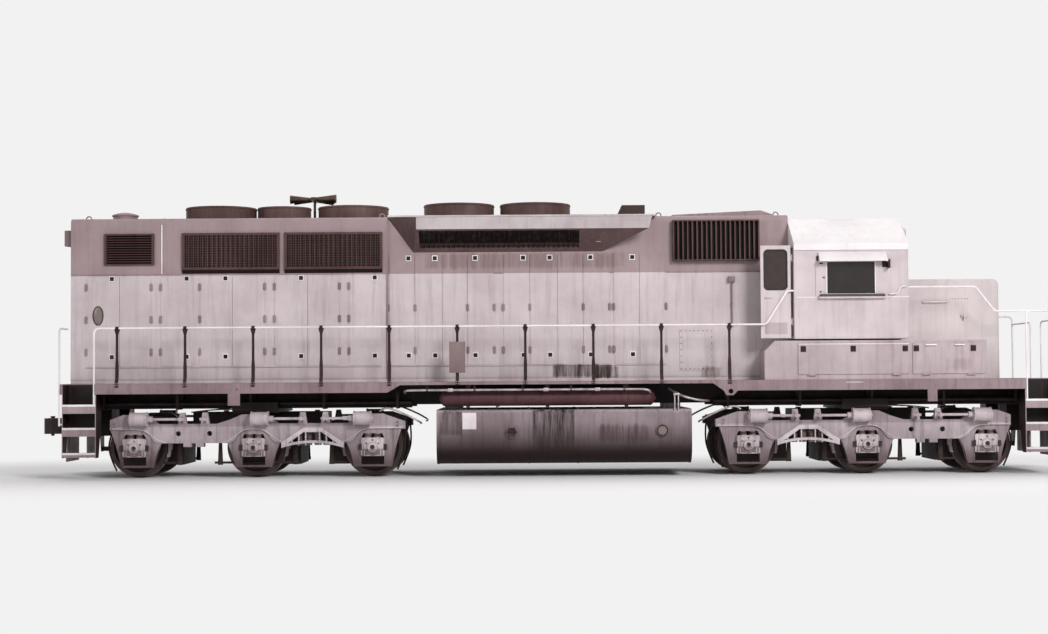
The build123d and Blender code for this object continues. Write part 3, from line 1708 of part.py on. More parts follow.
with BuildPart() as battery_boxes:
    prism(
        [
            (battery_rear, deck_top),
            (battery_rear, battery_top - battery_chamfer),
            (battery_rear + battery_chamfer, battery_top),
            (battery_front, battery_top),
            (battery_front, deck_top),
        ],
        Plane.XZ.offset(hood_half_width),
        body_half_width - hood_half_width - battery_skin,
    )
    for rear, front in battery_doors.values():
        for barrel_x in door_barrels(rear, front):
            for low in (barrel_x - battery_lug_length - 0.5, barrel_x + battery_barrel_length + 0.5):
                rod(
                    (low, -battery_hinge_y, battery_hinge_z),
                    (low + battery_lug_length, -battery_hinge_y, battery_hinge_z),
                    battery_hinge_radius,
                )
                block(
                    (low, low + battery_lug_length),
                    (-body_half_width + battery_skin, -battery_hinge_y),
                    (battery_hinge_z - battery_hinge_radius, battery_hinge_z + 4),
                )
            rod(
                (barrel_x - 2, -battery_hinge_y, battery_hinge_z),
                (barrel_x + battery_barrel_length + 2, -battery_hinge_y, battery_hinge_z),
                battery_pin_radius,
            )
    both_sides()
parts["battery_boxes"] = battery_boxes.part

for side_name, side in (("right", -1), ("left", 1)):
    for door_name, (rear, front) in battery_doors.items():
        door_inner = body_half_width - battery_skin + 8
        with BuildPart() as battery_door:
            block(
                (rear, front),
                (side * door_inner, side * (door_inner + battery_door_thickness)),
                (battery_door_bottom, battery_door_top),
            )
            for barrel_x in door_barrels(rear, front):
                rod(
                    (barrel_x, side * battery_hinge_y, battery_hinge_z),
                    (barrel_x + battery_barrel_length, side * battery_hinge_y, battery_hinge_z),
                    battery_hinge_radius,
                )
                block(
                    (barrel_x, barrel_x + battery_barrel_length),
                    (side * (door_inner + 6), side * battery_hinge_y),
                    (battery_hinge_z, battery_door_bottom + 10),
                )
                rod(
                    (barrel_x - 1, side * battery_hinge_y, battery_hinge_z),
                    (barrel_x + battery_barrel_length + 1, side * battery_hinge_y, battery_hinge_z),
                    battery_pin_radius + running_clearance,
                    Mode.SUBTRACT,
                )
        parts[f"{door_name}_door_{side_name}"] = battery_door.part


# Handrails: one long tube a side through the heads of flat stanchions, and grab irons at the corners
rail_rear_x = -(step_inner + step_stile + 20.0)
rail_foot = treads[0][0]
rail_bend = 90.0
cab_rail_height = above_rail(3160.0)
rail_route = [
    # along X, height
    (rail_rear_x, rail_foot),
    (rail_rear_x, rail_top),
    (cab_rear - 486.0, rail_top),
    (cab_rear - 116.0, cab_rail_height),
    (cab_rear, cab_rail_height),
]
for side_name, side in (("right", -1), ("left", 1)):
    with BuildPart() as handrail:
        bent_tube([(x, side * rail_y, z) for x, z in rail_route], rail_bend, rail_radius)
    parts[f"handrail_{side_name}"] = handrail.part

stanchion_head_radius = 30.0
stanchion_head_length = 54.0
stanchion_neck_half = 22.0
stanchion_foot_bottom = deck_bottom + 5.0
jog_low = deck_top + 26.0
jog_high = deck_top + 116.0
neck_low = deck_top + 299.0
neck_high = deck_top + 420.0
with BuildPart() as stanchions:
    inner_y = rail_y - stanchion_thickness / 2
    outer_y = rail_y + stanchion_thickness / 2
    for number in range(stanchion_count):
        post_x = stanchion_first + number * stanchion_pitch
        # The foot is bolted to the sill and jogs in over the edge of the deck
        prism(
            [
                (-body_half_width, stanchion_foot_bottom),
                (-body_half_width - stanchion_thickness, stanchion_foot_bottom),
                (-body_half_width - stanchion_thickness, jog_low + 4),
                (-outer_y, jog_high + 4),
                (-outer_y, neck_low + 1),
                (-inner_y, neck_low + 1),
                (-inner_y, jog_high),
                (-body_half_width, jog_low),
            ],
            Plane.YZ.offset(post_x - stanchion_width / 2),
            stanchion_width,
        )
        prism(
            [
                (post_x - stanchion_width / 2, neck_low),
                (post_x - stanchion_neck_half, neck_high),
                (post_x - stanchion_neck_half, rail_top),
                (post_x + stanchion_neck_half, rail_top),
                (post_x + stanchion_neck_half, neck_high),
                (post_x + stanchion_width / 2, neck_low),
            ],
            Plane.XZ.offset(inner_y),
            stanchion_thickness,
        )
        bored_head = ((stanchion_head_radius, Mode.ADD), (rail_radius + seat_clearance, Mode.SUBTRACT))
        for radius, mode in bored_head:
            rod(
                (post_x - stanchion_head_length / 2, -rail_y, rail_top),
                (post_x + stanchion_head_length / 2, -rail_y, rail_top),
                radius,
                mode,
            )
    both_sides()
parts["stanchions"] = stanchions.part

corner_post_x = platform_end + rail_radius + 3.0
corner_post_foot = above_rail(908.0)
post_foot_radius = 12.0
branch_radius = rail_radius - 3.0
front_rail_height = above_rail(2790.0)
cross_rail_height = front_rail_height - 150.0
rear_grab_height = above_rail(2590.0)
nose_rail_height = nose_top - 164.0
nose_rail_high_x = nose_front - 592.0
nose_rail_low_x = nose_front - 265.0
front_rail_opening = 330.0
with BuildPart() as end_rails:
    for side in (-1, 1):
        post_y = side * rail_y
        rear_post = (-corner_post_x, post_y)
        bent_tube(
            [
                (*rear_post, corner_post_foot),
                (*rear_post, rear_grab_height),
                (-corner_post_x, side * radiator_half_width, rear_grab_height),
            ],
            rail_bend,
            rail_radius,
        )
        # From the cab along the nose, down to the platform rail and down the corner post
        bent_tube(
            [
                (cab_front, post_y, nose_rail_height),
                (nose_rail_high_x, post_y, nose_rail_height),
                (nose_rail_low_x, post_y, front_rail_height),
                (corner_post_x, post_y, front_rail_height),
                (corner_post_x, post_y, corner_post_foot),
            ],
            rail_bend,
            rail_radius,
        )
        bent_tube(
            [
                (corner_post_x, post_y, cross_rail_height),
                (corner_post_x, side * front_rail_opening, cross_rail_height),
                (corner_post_x, side * front_rail_opening, sill_bottom),
            ],
            rail_bend,
            branch_radius,
        )
        rod((-rail_rear_x, post_y, rail_foot), (-rail_rear_x, post_y, front_rail_height), branch_radius)
        # Feet that hold the corner posts to the step stiles and the end plates
        for end in (-1, 1):
            for foot_x, foot_z in ((step_outer, corner_post_foot + 30), (pilot_face, sill_bottom + 60)):
                rod((end * foot_x, post_y, foot_z), (end * corner_post_x, post_y, foot_z), post_foot_radius)
        rod(
            (pilot_face, side * front_rail_opening, sill_bottom + 20),
            (corner_post_x, side * front_rail_opening, sill_bottom + 20),
            post_foot_radius,
        )
parts["end_rails"] = end_rails.part

# Headlight housings: on the cab front under the roof and on the rear end of the hood
lamp_radius = 95.0
lamp_spread = 120.0
lamp_depth = 20.0
lamp_recess = 12.0
lamp_rim = 14.0
lamp_housings = [
    # end face, way out, housing depth, half width, bottom, top
    (cab_front, 1, 150.0, 420.0, cab_eave + 55.0, cab_eave + 415.0),
    (hood_rear, -1, 150.0, 260.0, above_rail(3500.0), above_rail(3760.0)),
]
number_boards = [
    # end face, way out, inner edge, outer edge, depth at the inner and outer edge, bottom, top
    (cab_front, 1, 420.0, 1060.0, 150.0, 60.0, cab_eave + 70.0, cab_eave + 330.0),
    (hood_rear, -1, 560.0, 900.0, 30.0, 130.0, above_rail(4050.0), above_rail(4330.0)),
]
with BuildPart() as headlights:
    for face, way, depth, half_width, bottom, top in lamp_housings:
        block((face, face + way * depth), (-half_width, half_width), (bottom, top))
        for y in (-lamp_spread, lamp_spread):
            lamp_z = (bottom + top) / 2
            rod((face + way * depth, y, lamp_z), (face + way * (depth + lamp_depth), y, lamp_z), lamp_radius)
            rod(
                (face + way * (depth + lamp_depth - lamp_recess), y, lamp_z),
                (face + way * (depth + lamp_depth + 1), y, lamp_z),
                lamp_radius - lamp_rim,
                Mode.SUBTRACT,
            )
    for face, way, inner, outer, inner_depth, outer_depth, bottom, top in number_boards:
        for side in (-1, 1):
            prism(
                [
                    (face, side * inner),
                    (face + way * inner_depth, side * inner),
                    (face + way * outer_depth, side * outer),
                    (face, side * outer),
                ],
                Plane.XY.offset(bottom),
                top - bottom,
            )
parts["headlights"] = headlights.part


for label, piece in parts.items():
    piece.label = label
    export_step(piece, f"parts/{label}.step")
print(len(parts), "parts written")
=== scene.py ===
import math

import bmesh
import bpy
from mathutils import Matrix, Vector


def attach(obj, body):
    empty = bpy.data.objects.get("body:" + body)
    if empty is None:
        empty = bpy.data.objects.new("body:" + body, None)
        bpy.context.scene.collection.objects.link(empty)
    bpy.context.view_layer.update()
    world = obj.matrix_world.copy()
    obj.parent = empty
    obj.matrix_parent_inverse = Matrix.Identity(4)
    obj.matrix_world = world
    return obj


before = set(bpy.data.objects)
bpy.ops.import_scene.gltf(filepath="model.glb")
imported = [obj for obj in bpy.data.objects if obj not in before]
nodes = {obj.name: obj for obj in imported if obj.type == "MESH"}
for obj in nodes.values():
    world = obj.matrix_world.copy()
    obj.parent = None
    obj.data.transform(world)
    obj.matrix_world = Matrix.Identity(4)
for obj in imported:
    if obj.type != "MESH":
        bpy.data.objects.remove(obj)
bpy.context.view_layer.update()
print("frame loaded:", len(nodes), "nodes")


# Small helpers for the materials

def linearColor(hexText):
    # sRGB hex to the linear values that shaders take
    values = [int(hexText[i:i + 2], 16) / 255 for i in (1, 3, 5)]
    linear = [v / 12.92 if v <= 0.04045 else ((v + 0.055) / 1.055) ** 2.4 for v in values]
    return (*linear, 1.0)


def liveOutput(source):
    # a node stands for the first output that it uses
    if isinstance(source, bpy.types.Node):
        return next(output for output in source.outputs if output.enabled)
    return source


def addNode(tree, kind, settings=None, links=None):
    # settings and links name a property or an input, by name or number; colours are hex texts
    node = tree.nodes.new("ShaderNode" + kind)
    for key, value in (settings or {}).items():
        if isinstance(key, str) and hasattr(node, key):
            setattr(node, key, value)
        else:
            node.inputs[key].default_value = linearColor(value) if isinstance(value, str) else value
    for key, source in (links or {}).items():
        tree.links.new(liveOutput(source), node.inputs[key])
    return node


def fromTo(low, high, least=0.0, most=1.0):
    # settings of a ramp: least up to the low value, most from the high one on
    return {"From Min": low, "From Max": high, "To Min": least, "To Max": most}


materials = {}


def startMaterial(name):
    materials[name] = bpy.data.materials.new(name)
    materials[name].use_nodes = True
    tree = materials[name].node_tree
    return tree, addNode(tree, "TexCoord").outputs["Object"]


def finishMaterial(tree, base, gloss, bump, uniform):
    # bump: height, strength, depth in metres
    shader = tree.nodes["Principled BSDF"]
    links = {"Base Color": base, "Roughness": gloss}
    if bump:
        height, strength, depth = bump
        links["Normal"] = addNode(
            tree, "Bump", {"Strength": strength, "Distance": depth}, {"Height": height}
        )
    for key, source in links.items():
        tree.links.new(liveOutput(source), shader.inputs[key])
    for key, value in uniform.items():
        shader.inputs[key].default_value = value


def insideBox(tree, coords, limits, soft):
    # 1 between the limits and 0 outside, with an edge this soft; "side" is the distance from
    # the middle plane
    axes = addNode(tree, "SeparateXYZ", links={0: coords}).outputs
    side = addNode(tree, "Math", {"operation": "ABSOLUTE"}, {0: axes["Y"]})
    values = {"x": axes["X"], "z": axes["Z"], "side": side}
    mask = None
    for axis, (low, high) in limits.items():
        for limit, way in ((low, soft), (high, -soft)):
            edge = {"interpolation_type": "SMOOTHSTEP", **fromTo(limit - way, limit + way)}
            ramp = addNode(tree, "MapRange", edge, {"Value": values[axis]})
            mask = addNode(tree, "Math", {"operation": "MULTIPLY"}, {0: mask, 1: ramp}) if mask else ramp
    return mask


# Air-dried enamel, sprayed on steel sheet and plate: the sheet waves a little, the gloss has
# chalked in patches, rain draws soot down from the roof and the wheels throw up brown dust
enamelFinish = {
    "bump": 0.35, "waveDepth": 0.005, "peelShare": 0.05, "roughness": (0.42, 0.68), "specular": 0.25,
    # streaks are drawn out downwards; a chip hides half of the paint, dust a little more than soot
    "drawn": (1, 1, 0.07), "chipStrength": 0.5, "dustExtra": 0.15,
    # gain and shift of the noise that makes a stain end unevenly
    "stainNoise": (1.6, -0.62),
}
enamelRamps = {
    # the values of the noise at which each begins and is full
    "chalk": (0.38, 0.66), "runs": (0.5, 0.74), "chips": (0.66, 0.76), "stain": (0.85, 1.3),
    "gloss": (0.3, 0.7),
}
enamelNoise = {
    # size per metre, detail, roughness
    "patches": (1.1, 7.0, 0.62),  # chalk, in patches of about 0.9 m
    "streaks": (11.0, 6.0, 0.68),  # rain, 60 to 120 mm apart
    "specks": (90.0, 2.0, 0.8),  # chips and insects of about 10 mm
    "wave": (1.9, 1.0, 0.5),
    "peel": (240.0, 1.0, 0.5),  # orange peel of 4 mm, coarser than real so that it shows
}
enamels = {
    # paint, chalked paint, soot or rust, how much of it, height that road dust reaches
    "hoodEnamel": ("#c6babd", "#b5a8ab", "#7d6765", 0.34, 2.1),
    "cabEnamel": ("#c8bcbf", "#b7aaad", "#846f6e", 0.26, 2.1),
    "lampEnamel": ("#cbbfc1", "#bbaeb0", "#6b5856", 0.34, 1.5),
    "noseEnamel": ("#cfc4c5", "#bfb3b4", "#846f6e", 0.24, 2.1),
    "boxEnamel": ("#b3a4a7", "#a09093", "#6b5654", 0.38, 2.0),
    # the hinges are darker than the hood: grease and rust, and painted shade for the shadow beside them
    "hingeEnamel": ("#9c898a", "#7d6a6a", "#372623", 0.55, 1.5),
    "upperEnamel": ("#988386", "#867073", "#452f2c", 0.46, 1.5),
    # the fascia is lighter than the upper paint: a painted highlight on the flare's face
    "fasciaEnamel": ("#d9d1d3", "#bfb3b5", "#7f6c6a", 0.34, 1.5),
    "roofEnamel": ("#e6e1e2", "#d9d2d4", "#a59898", 0.14, 1.5),
    "sillEnamel": ("#8f7c80", "#7c686c", "#3c2826", 0.44, 1.6),
    "stepEnamel": ("#a39396", "#8d7c80", "#4c3836", 0.44, 1.4),
    "truckEnamel": ("#a09296", "#84757a", "#2d1d1b", 0.62, 0.9),
    "cylinderEnamel": ("#c0b3b7", "#9c8d92", "#402d2b", 0.48, 0.9),
    "tankEnamel": ("#93858a", "#7b6c70", "#241210", 0.5, 1.0),
    "vesselEnamel": ("#57383d", "#482b2f", "#1f0e0c", 0.45, 1.0),
    "railEnamel": ("#ece7e9", "#d3cacd", "#8a7775", 0.24, 1.4),
    "blackEnamel": ("#1d0f0b", "#2a1a16", "#4a3733", 0.4, 1.0),
    "grilleEnamel": ("#563b3a", "#452b2a", "#1d0d0b", 0.5, 1.0),
    "fanEnamel": ("#5e4845", "#4a3431", "#20110e", 0.55, 1.0),
    "plateEnamel": ("#7f6d6e", "#6f5d5e", "#3a2826", 0.4, 1.8),
    "interiorEnamel": ("#6d6262", "#5c5151", "#2a1f1d", 0.35, 2.5),
}
# Where a finish changes colour, for two-tone paint and for painted shade and painted highlight: paint, the
# limits that it holds between, softness of its edge
beyond = 99.0
paintAndShadeRegions = {
    "hoodEnamel": [("#9b888a", {"z": (3.555, beyond)}, 0.003)],
    "sillEnamel": [
        # painted shade: near black under and inboard of the sill's edge
        ("#150907", {"side": (-1.0, 1.53), "z": (0.0, 1.64)}, 0.003),
        ("#54413f", {"side": (-1.0, 1.56), "z": (1.65, beyond)}, 0.004),
    ],
    # painted shade: near black inside the step wells, behind the treads and stiles
    "stepEnamel": [("#130806", {"side": (-1.0, 1.52), "x": (-8.574, 8.574)}, 0.003)],
    "truckEnamel": [
        # painted highlight: near white on the outermost faces of the frame between 0.5 and 0.9 m, the
        # spring plank's strap and the ribs
        ("#d4cbce", {"side": (1.1805, 1.3), "z": (0.5, 0.9)}, 0.002),
        # painted shade: near black on the inboard parts of the frame
        ("#23130f", {"side": (-1.0, 1.02)}, 0.01),
        ("#6d5d60", {"z": (-1.0, 0.42)}, 0.2),
    ],
    # painted shade: near black over the lower tank; painted highlight: lighter along its top edge
    "tankEnamel": [("#1c0707", {"z": (-1.0, 0.72)}, 0.34), ("#bcb1b5", {"z": (1.13, 2.0)}, 0.03)],
    "fasciaEnamel": [
        # painted shade: darker on the slope under the fascia, near black in the grids under it
        ("#5e4a4a", {"side": (-1.0, 1.3135), "z": (-1.0, 4.554)}, 0.003),
        ("#120705", {"side": (0.978, 1.284), "x": (-2.444, 0.354), "z": (-1.0, 4.36)}, 0.003),
    ],
    # painted shade: near black in the recesses behind the grille's face
    "grilleEnamel": [("#120705", {"side": (-1.0, 1.0235)}, 0.002)],
    # painted shade: the rear lamps and boards darker than the paint round them, darkest below 4 m
    "lampEnamel": [
        ("#7b686a", {"x": (-beyond, -8.0), "z": (4.0, beyond)}, 0.01),
        ("#4f3c3a", {"x": (-beyond, -8.0), "z": (-1.0, 4.0)}, 0.01),
    ],
}
# Oil and soot that run down from one place: colour, strength, limits, softness
stains = {
    "hoodEnamel": [
        ("#3b2926", 0.95, {"side": (0.6, 1.3), "x": (-0.15, 0.95), "z": (1.7, 1.97)}, 0.06),
        ("#32211e", 0.9, {"side": (0.6, 1.3), "x": (0.55, 1.05), "z": (1.68, 1.93)}, 0.05),
        ("#7a6664", 0.8, {"side": (0.6, 1.3), "x": (2.45, 2.85), "z": (1.68, 1.92)}, 0.07),
        ("#6a5452", 0.6, {"side": (0.6, 1.3), "x": (-2.4, 1.2), "z": (3.6, 3.95)}, 0.1),
    ],
    "boxEnamel": [("#8a7777", 0.6, {"side": (1.3, 1.9), "x": (6.6, 7.1), "z": (1.76, 2.05)}, 0.1)],
    "tankEnamel": [
        ("#1d0e0c", 0.95, {"side": (1.0, 1.9), "x": (-0.5, 0.27), "z": (0.35, 1.2)}, 0.05),
        ("#30201d", 0.85, {"side": (1.0, 1.9), "x": (-2.08, -1.68), "z": (0.7, 1.2)}, 0.08),
        ("#3a2522", 0.7, {"side": (1.0, 1.9), "x": (0.6, 1.6), "z": (0.55, 0.95)}, 0.12),
    ],
}


def sprayEnamel(name, paint, chalked, soot, amount, dustHeight):
    tree, coords = startMaterial(name)
    drawn = addNode(tree, "Mapping", {"Scale": enamelFinish["drawn"]}, {"Vector": coords})
    noise = {}
    for key, (size, detail, roughness) in enamelNoise.items():
        noise[key] = addNode(
            tree, "TexNoise", {"Scale": size, "Detail": detail, "Roughness": roughness},
            {"Vector": drawn if key == "streaks" else coords},
        )
    base = addNode(tree, "RGB").outputs[0]
    base.default_value = linearColor(paint)
    for color, limits, soft in paintAndShadeRegions.get(name, ()):
        inside = insideBox(tree, coords, limits, soft)
        base = addNode(tree, "Mix", {"data_type": "RGBA", 7: color}, {0: inside, 6: base})
    # the chalked patches keep the paint's own colour, only duller
    duller = tuple(a / b for a, b in zip(linearColor(chalked), linearColor(paint)))
    chalk = addNode(tree, "MapRange", fromTo(*enamelRamps["chalk"]), {"Value": noise["patches"]})
    base = addNode(
        tree, "Mix", {"data_type": "RGBA", "blend_type": "MULTIPLY", 7: duller}, {0: chalk, 6: base}
    )
    runs = addNode(
        tree, "MapRange", fromTo(*enamelRamps["runs"], 0.0, amount), {"Value": noise["streaks"]}
    )
    chips = addNode(
        tree, "MapRange", fromTo(*enamelRamps["chips"], 0.0, enamelFinish["chipStrength"]),
        {"Value": noise["specks"]},
    )
    low = addNode(
        tree, "MapRange", fromTo(dustHeight - 1.0, dustHeight, amount + enamelFinish["dustExtra"], 0.0),
        {"Value": addNode(tree, "SeparateXYZ", links={0: coords}).outputs["Z"]},
    )
    dusty = addNode(tree, "Math", {"operation": "MULTIPLY"}, {0: low, 1: noise["patches"]})
    for share in (runs, chips, dusty):
        base = addNode(tree, "Mix", {"data_type": "RGBA", 7: soot}, {0: share, 6: base})
    gain, shift = enamelFinish["stainNoise"]
    for color, strength, limits, soft in stains.get(name, ()):
        # the noise decides how far each run gets, so the stain ends unevenly
        wet = addNode(tree, "Math", {"operation": "MULTIPLY_ADD", 1: gain, 2: shift}, {0: noise["streaks"]})
        inside = insideBox(tree, coords, limits, soft)
        reached = addNode(tree, "Math", {"operation": "ADD"}, {0: wet, 1: inside})
        where = addNode(
            tree, "MapRange", fromTo(*enamelRamps["stain"], 0.0, strength), {"Value": reached}
        )
        base = addNode(tree, "Mix", {"data_type": "RGBA", 7: color}, {0: where, 6: base})
    gloss = addNode(
        tree, "MapRange", fromTo(*enamelRamps["gloss"], *enamelFinish["roughness"]),
        {"Value": noise["streaks"]},
    )
    surface = addNode(
        tree, "Math", {"operation": "MULTIPLY_ADD", 1: enamelFinish["peelShare"]},
        {0: noise["peel"], 2: noise["wave"]},
    )
    finishMaterial(
        tree, base, gloss, (surface, enamelFinish["bump"], enamelFinish["waveDepth"]),
        {"Specular IOR Level": enamelFinish["specular"]},  # chalked paint mirrors little
    )


for finishName, recipe in enamels.items():
    sprayEnamel(finishName, *recipe)
print("enamels mixed:", len(materials))


def coatMaterial(name, dark, light, patches, turn, gloss, grain, uniform):
    # two colours that change over in patches, with the gloss following them and a fine grain;
    # patches: size, detail and roughness of their noise; turn: its values where the colours change;
    # gloss: where it begins to change, least, most; grain: kind, settings, strength, depth
    tree, coords = startMaterial(name)
    size, detail, roughness = patches
    grime = addNode(
        tree, "TexNoise", {"Scale": size, "Detail": detail, "Roughness": roughness}, {"Vector": coords}
    )
    share = addNode(tree, "MapRange", fromTo(*turn), {"Value": grime})
    base = addNode(tree, "Mix", {"data_type": "RGBA", 6: dark, 7: light}, {0: share})
    start, least, most = gloss
    shine = addNode(tree, "MapRange", fromTo(start, 1.0, least, most), {"Value": grime})
    if grain:
        kind, settings, strength, depth = grain
        grain = (addNode(tree, kind, settings, {"Vector": coords}), strength, depth)
    finishMaterial(tree, base, shine, grain, uniform)


# Cast and rolled steel left bare: grain of a few millimetres, oil that darkens it and dust that
# lightens it, so the eye reads mass rather than shine
steels = {
    # oily metal, dusty metal, grain size per metre, metallic, roughness
    "castIron": ("#180d0a", "#3a2a26", 120.0, 0.3, 0.66),
    "springSteel": ("#3a2b28", "#74655f", 160.0, 0.5, 0.5),
    "boltSteel": ("#5a4a48", "#8d7e7c", 300.0, 0.5, 0.5),
    "galvanizedPipe": ("#8d8083", "#c4b9bb", 200.0, 0.5, 0.45),
    "headBronze": ("#3b2a20", "#5c4a3c", 200.0, 0.7, 0.4),
}
for finishName, (oily, dusty, grainSize, metallic, roughness) in steels.items():
    coatMaterial(
        finishName, oily, dusty, (4.0, 8.0, 0.65), (0.36, 0.64), (0.0, roughness - 0.2, roughness + 0.22),
        ("TexNoise", {"Scale": grainSize, "Detail": 3.0}, 0.5, 0.0015), {"Metallic": metallic},
    )

# Toughened glass with a film of road dust; the cab's panes are dark because what is behind them is dark,
# the doors' panes are tinted near black and pass little light, painted shade that stands in for the dark
# seen through them
panes = {
    # tint, dust, size of the dust's patches, transmission
    "cabGlazing": ("#3c3432", "#564b48", 3.5, 0.72),
    "doorGlazingPaintedShade": ("#2a1f1d", "#4a3d3a", 4.0, 0.25),
    "sightGlass": ("#6d5c58", "#93847f", 9.0, 0.2),
    "lampLens": ("#e8e4dc", "#c9c2b8", 14.0, 0.35),
    "boardGlass": ("#cfc7c4", "#b0a5a2", 5.0, 0.1),
}
for finishName, (tint, dust, dustSize, transmission) in panes.items():
    coatMaterial(
        finishName, tint, dust, (dustSize, 8.0, 0.7), (0.0, 1.0), (0.4, 0.02, 0.3), None,
        {"Transmission Weight": transmission, "IOR": 1.45},
    )

# Extruded rubber and coated cloth: dull, finely pebbled, greyed where it is rubbed
hides = {
    # deep colour, rubbed colour, pebbles per metre, roughness
    "gasketRubber": ("#15100e", "#322a27", 400.0, 0.75),
    "seatVinyl": ("#2b2320", "#4a3f3a", 350.0, 0.55),
}
for finishName, (deep, rubbed, pebbles, roughness) in hides.items():
    coatMaterial(
        finishName, deep, rubbed, (7.0, 6.0, 0.6), (0.0, 1.0), (0.0, roughness - 0.15, roughness + 0.2),
        ("TexVoronoi", {"Scale": pebbles}, 0.4, 0.001), {},
    )

# Forged and rolled wheel steel: the tread is worn bright, the rim is dusty and the plate is dark with oil
# and with painted shade from the body over it, in rings about each axle
wheelFinish = {
    # colours of the plate; colour of the rim and the tread, and the radius from which each begins
    "plate": ("#1c1312", "#332725"), "rim": ("#463935", 0.425), "tread": ("#7d7471", 0.5), "edge": 0.012,
    # how much of the bright rings the grime covers
    "grimeCover": 0.6, "roughness": (0.3, 0.65), "bump": (0.3, 0.001), "metallic": 0.6,
}
axleHeight = 0.533
truckMiddle = 5.334
axleOffsets = (2.07, 0.0, -2.07)


def forgeWheel(name, center):
    tree, coords = startMaterial(name)
    moved = addNode(tree, "Mapping", {"Location": (-center, 0.0, -axleHeight)}, {"Vector": coords})
    flat = addNode(tree, "VectorMath", {"operation": "MULTIPLY", 1: (1, 0, 1)}, {0: moved})
    radius = addNode(tree, "VectorMath", {"operation": "LENGTH"}, {0: flat})
    grime = addNode(tree, "TexNoise", {"Scale": 6.0, "Detail": 8.0, "Roughness": 0.7}, {"Vector": coords})
    turned = addNode(tree, "TexNoise", {"Scale": 90.0, "Detail": 1.0}, {"Vector": radius})
    oily, dusty = wheelFinish["plate"]
    base = addNode(tree, "Mix", {"data_type": "RGBA", 6: oily, 7: dusty}, {0: grime})
    worn = addNode(
        tree, "Math", {"operation": "MULTIPLY_ADD", 1: -wheelFinish["grimeCover"], 2: 1.0}, {0: grime}
    )
    for color, limit in (wheelFinish["rim"], wheelFinish["tread"]):
        outside = addNode(
            tree, "MapRange", fromTo(limit, limit + wheelFinish["edge"]), {"Value": radius}
        )
        share = addNode(tree, "Math", {"operation": "MULTIPLY"}, {0: outside, 1: worn})
        base = addNode(tree, "Mix", {"data_type": "RGBA", 7: color}, {0: share, 6: base})
    gloss = addNode(tree, "MapRange", fromTo(0.0, 1.0, *wheelFinish["roughness"]), {"Value": grime})
    bump = (turned, *wheelFinish["bump"])
    finishMaterial(tree, base, gloss, bump, {"Metallic": wheelFinish["metallic"]})


for number in range(6):
    truck = truckMiddle if number < 3 else -truckMiddle
    forgeWheel("wheelSteel" + str(number + 1), truck + axleOffsets[number % 3])
print("steels, glass and rubber made")

nodeFinish = {
    # finish: how the names of its nodes begin
    "sillEnamel": "underframe",
    "stepEnamel": "pilot",
    "castIron": "coupler fan_rotor engine_block exhaust_stack traction_motors",
    "tankEnamel": "fuel_tank",
    "vesselEnamel": "air_reservoirs",
    "hoodEnamel": "engine_hood radiator_hood rear_hood hood_doors",
    "fasciaEnamel": "brake_hatch",
    "fanEnamel": "fan_shrouds",
    "grilleEnamel": "intake_grilles radiator_grilles",
    "upperEnamel": "roof_hatches",
    "headBronze": "horn",
    "cabEnamel": "cab_body cab_door",
    "roofEnamel": "cab_roof cab_awnings",
    "cabGlazing": "cab_glass",
    "interiorEnamel": "cab_interior",
    "noseEnamel": "nose",
    "boxEnamel": "battery locker_door",
    "railEnamel": "handrail end_rails",
    "blackEnamel": "stanchions",
    "lampEnamel": "headlights",
    "truckEnamel": "truck_frame journal_boxes",
    "cylinderEnamel": "brake_gear",
}
for number in range(1, 7):
    nodeFinish["wheelSteel" + str(number)] = "wheelset_" + str(number)
for finishName, starts in nodeFinish.items():
    for name, node in nodes.items():
        if name.startswith(tuple(starts.split())):
            node.data.materials.clear()
            node.data.materials.append(materials[finishName])
print("finishes laid on the CAD nodes")


# Modelling helpers: what a hand does with the mouse, in a few short steps

def clearSelection():
    bpy.ops.object.select_all(action="DESELECT")


def addShape(start, end, radius=None, sides=16):
    # a block between two corners or, with a radius, a bar between two points
    middle = [(a + b) / 2 for a, b in zip(start, end)]
    if radius is None:
        span = [abs(b - a) for a, b in zip(start, end)]
        bpy.ops.mesh.primitive_cube_add(size=1, location=middle, scale=span)
        return
    start, end = Vector(start), Vector(end)
    bpy.ops.mesh.primitive_cylinder_add(
        vertices=sides, radius=radius, depth=(end - start).length, location=(start + end) / 2,
        rotation=(end - start).to_track_quat("Z", "Y").to_euler(),
    )


def addShapes(shapes):
    for shape in shapes:
        addShape(*shape)


def shifted(shapes, x=0, y=0, z=0, way=1):
    # the same blocks and bars elsewhere, facing backwards with way -1
    return [
        ((x + way * a, y + b, z + c), (x + way * d, y + e, z + f), *size)
        for (a, b, c), (d, e, f), *size in shapes
    ]


def shapesAt(shapes, spots):
    return [shape for spot in spots for shape in shifted(shapes, *spot)]


def openPiece(name):
    # the primitive just added gets its name and is opened in edit mode
    bpy.ops.object.transform_apply()
    bpy.context.object.name = name
    bpy.ops.object.mode_set(mode="EDIT")


def startPiece(name, *shapes):
    clearSelection()
    addShape(*shapes[0])
    openPiece(name)
    addShapes(shapes[1:])


def startRing(name, place, radius, wire, segments, tilt=(0, 0, 0)):
    clearSelection()
    bpy.ops.mesh.primitive_torus_add(
        major_radius=radius, minor_radius=wire, major_segments=segments, minor_segments=8, location=place,
        rotation=tilt,
    )
    openPiece(name)


acrossX = (0, math.pi / 2, 0)
acrossY = (math.pi / 2, 0, 0)


def pickParts(kind, test):
    # selects the faces or edges that pass the test
    bpy.ops.mesh.select_mode(type=kind)
    bpy.ops.mesh.select_all(action="DESELECT")
    data = bpy.context.object.data
    shape = bmesh.from_edit_mesh(data)
    for part in shape.faces if kind == "FACE" else shape.edges:
        part.select_set(bool(test(part)))
    bmesh.update_edit_mesh(data)


def pickFaces(test):
    pickParts("FACE", lambda face: test(face.calc_center_median(), face.normal))


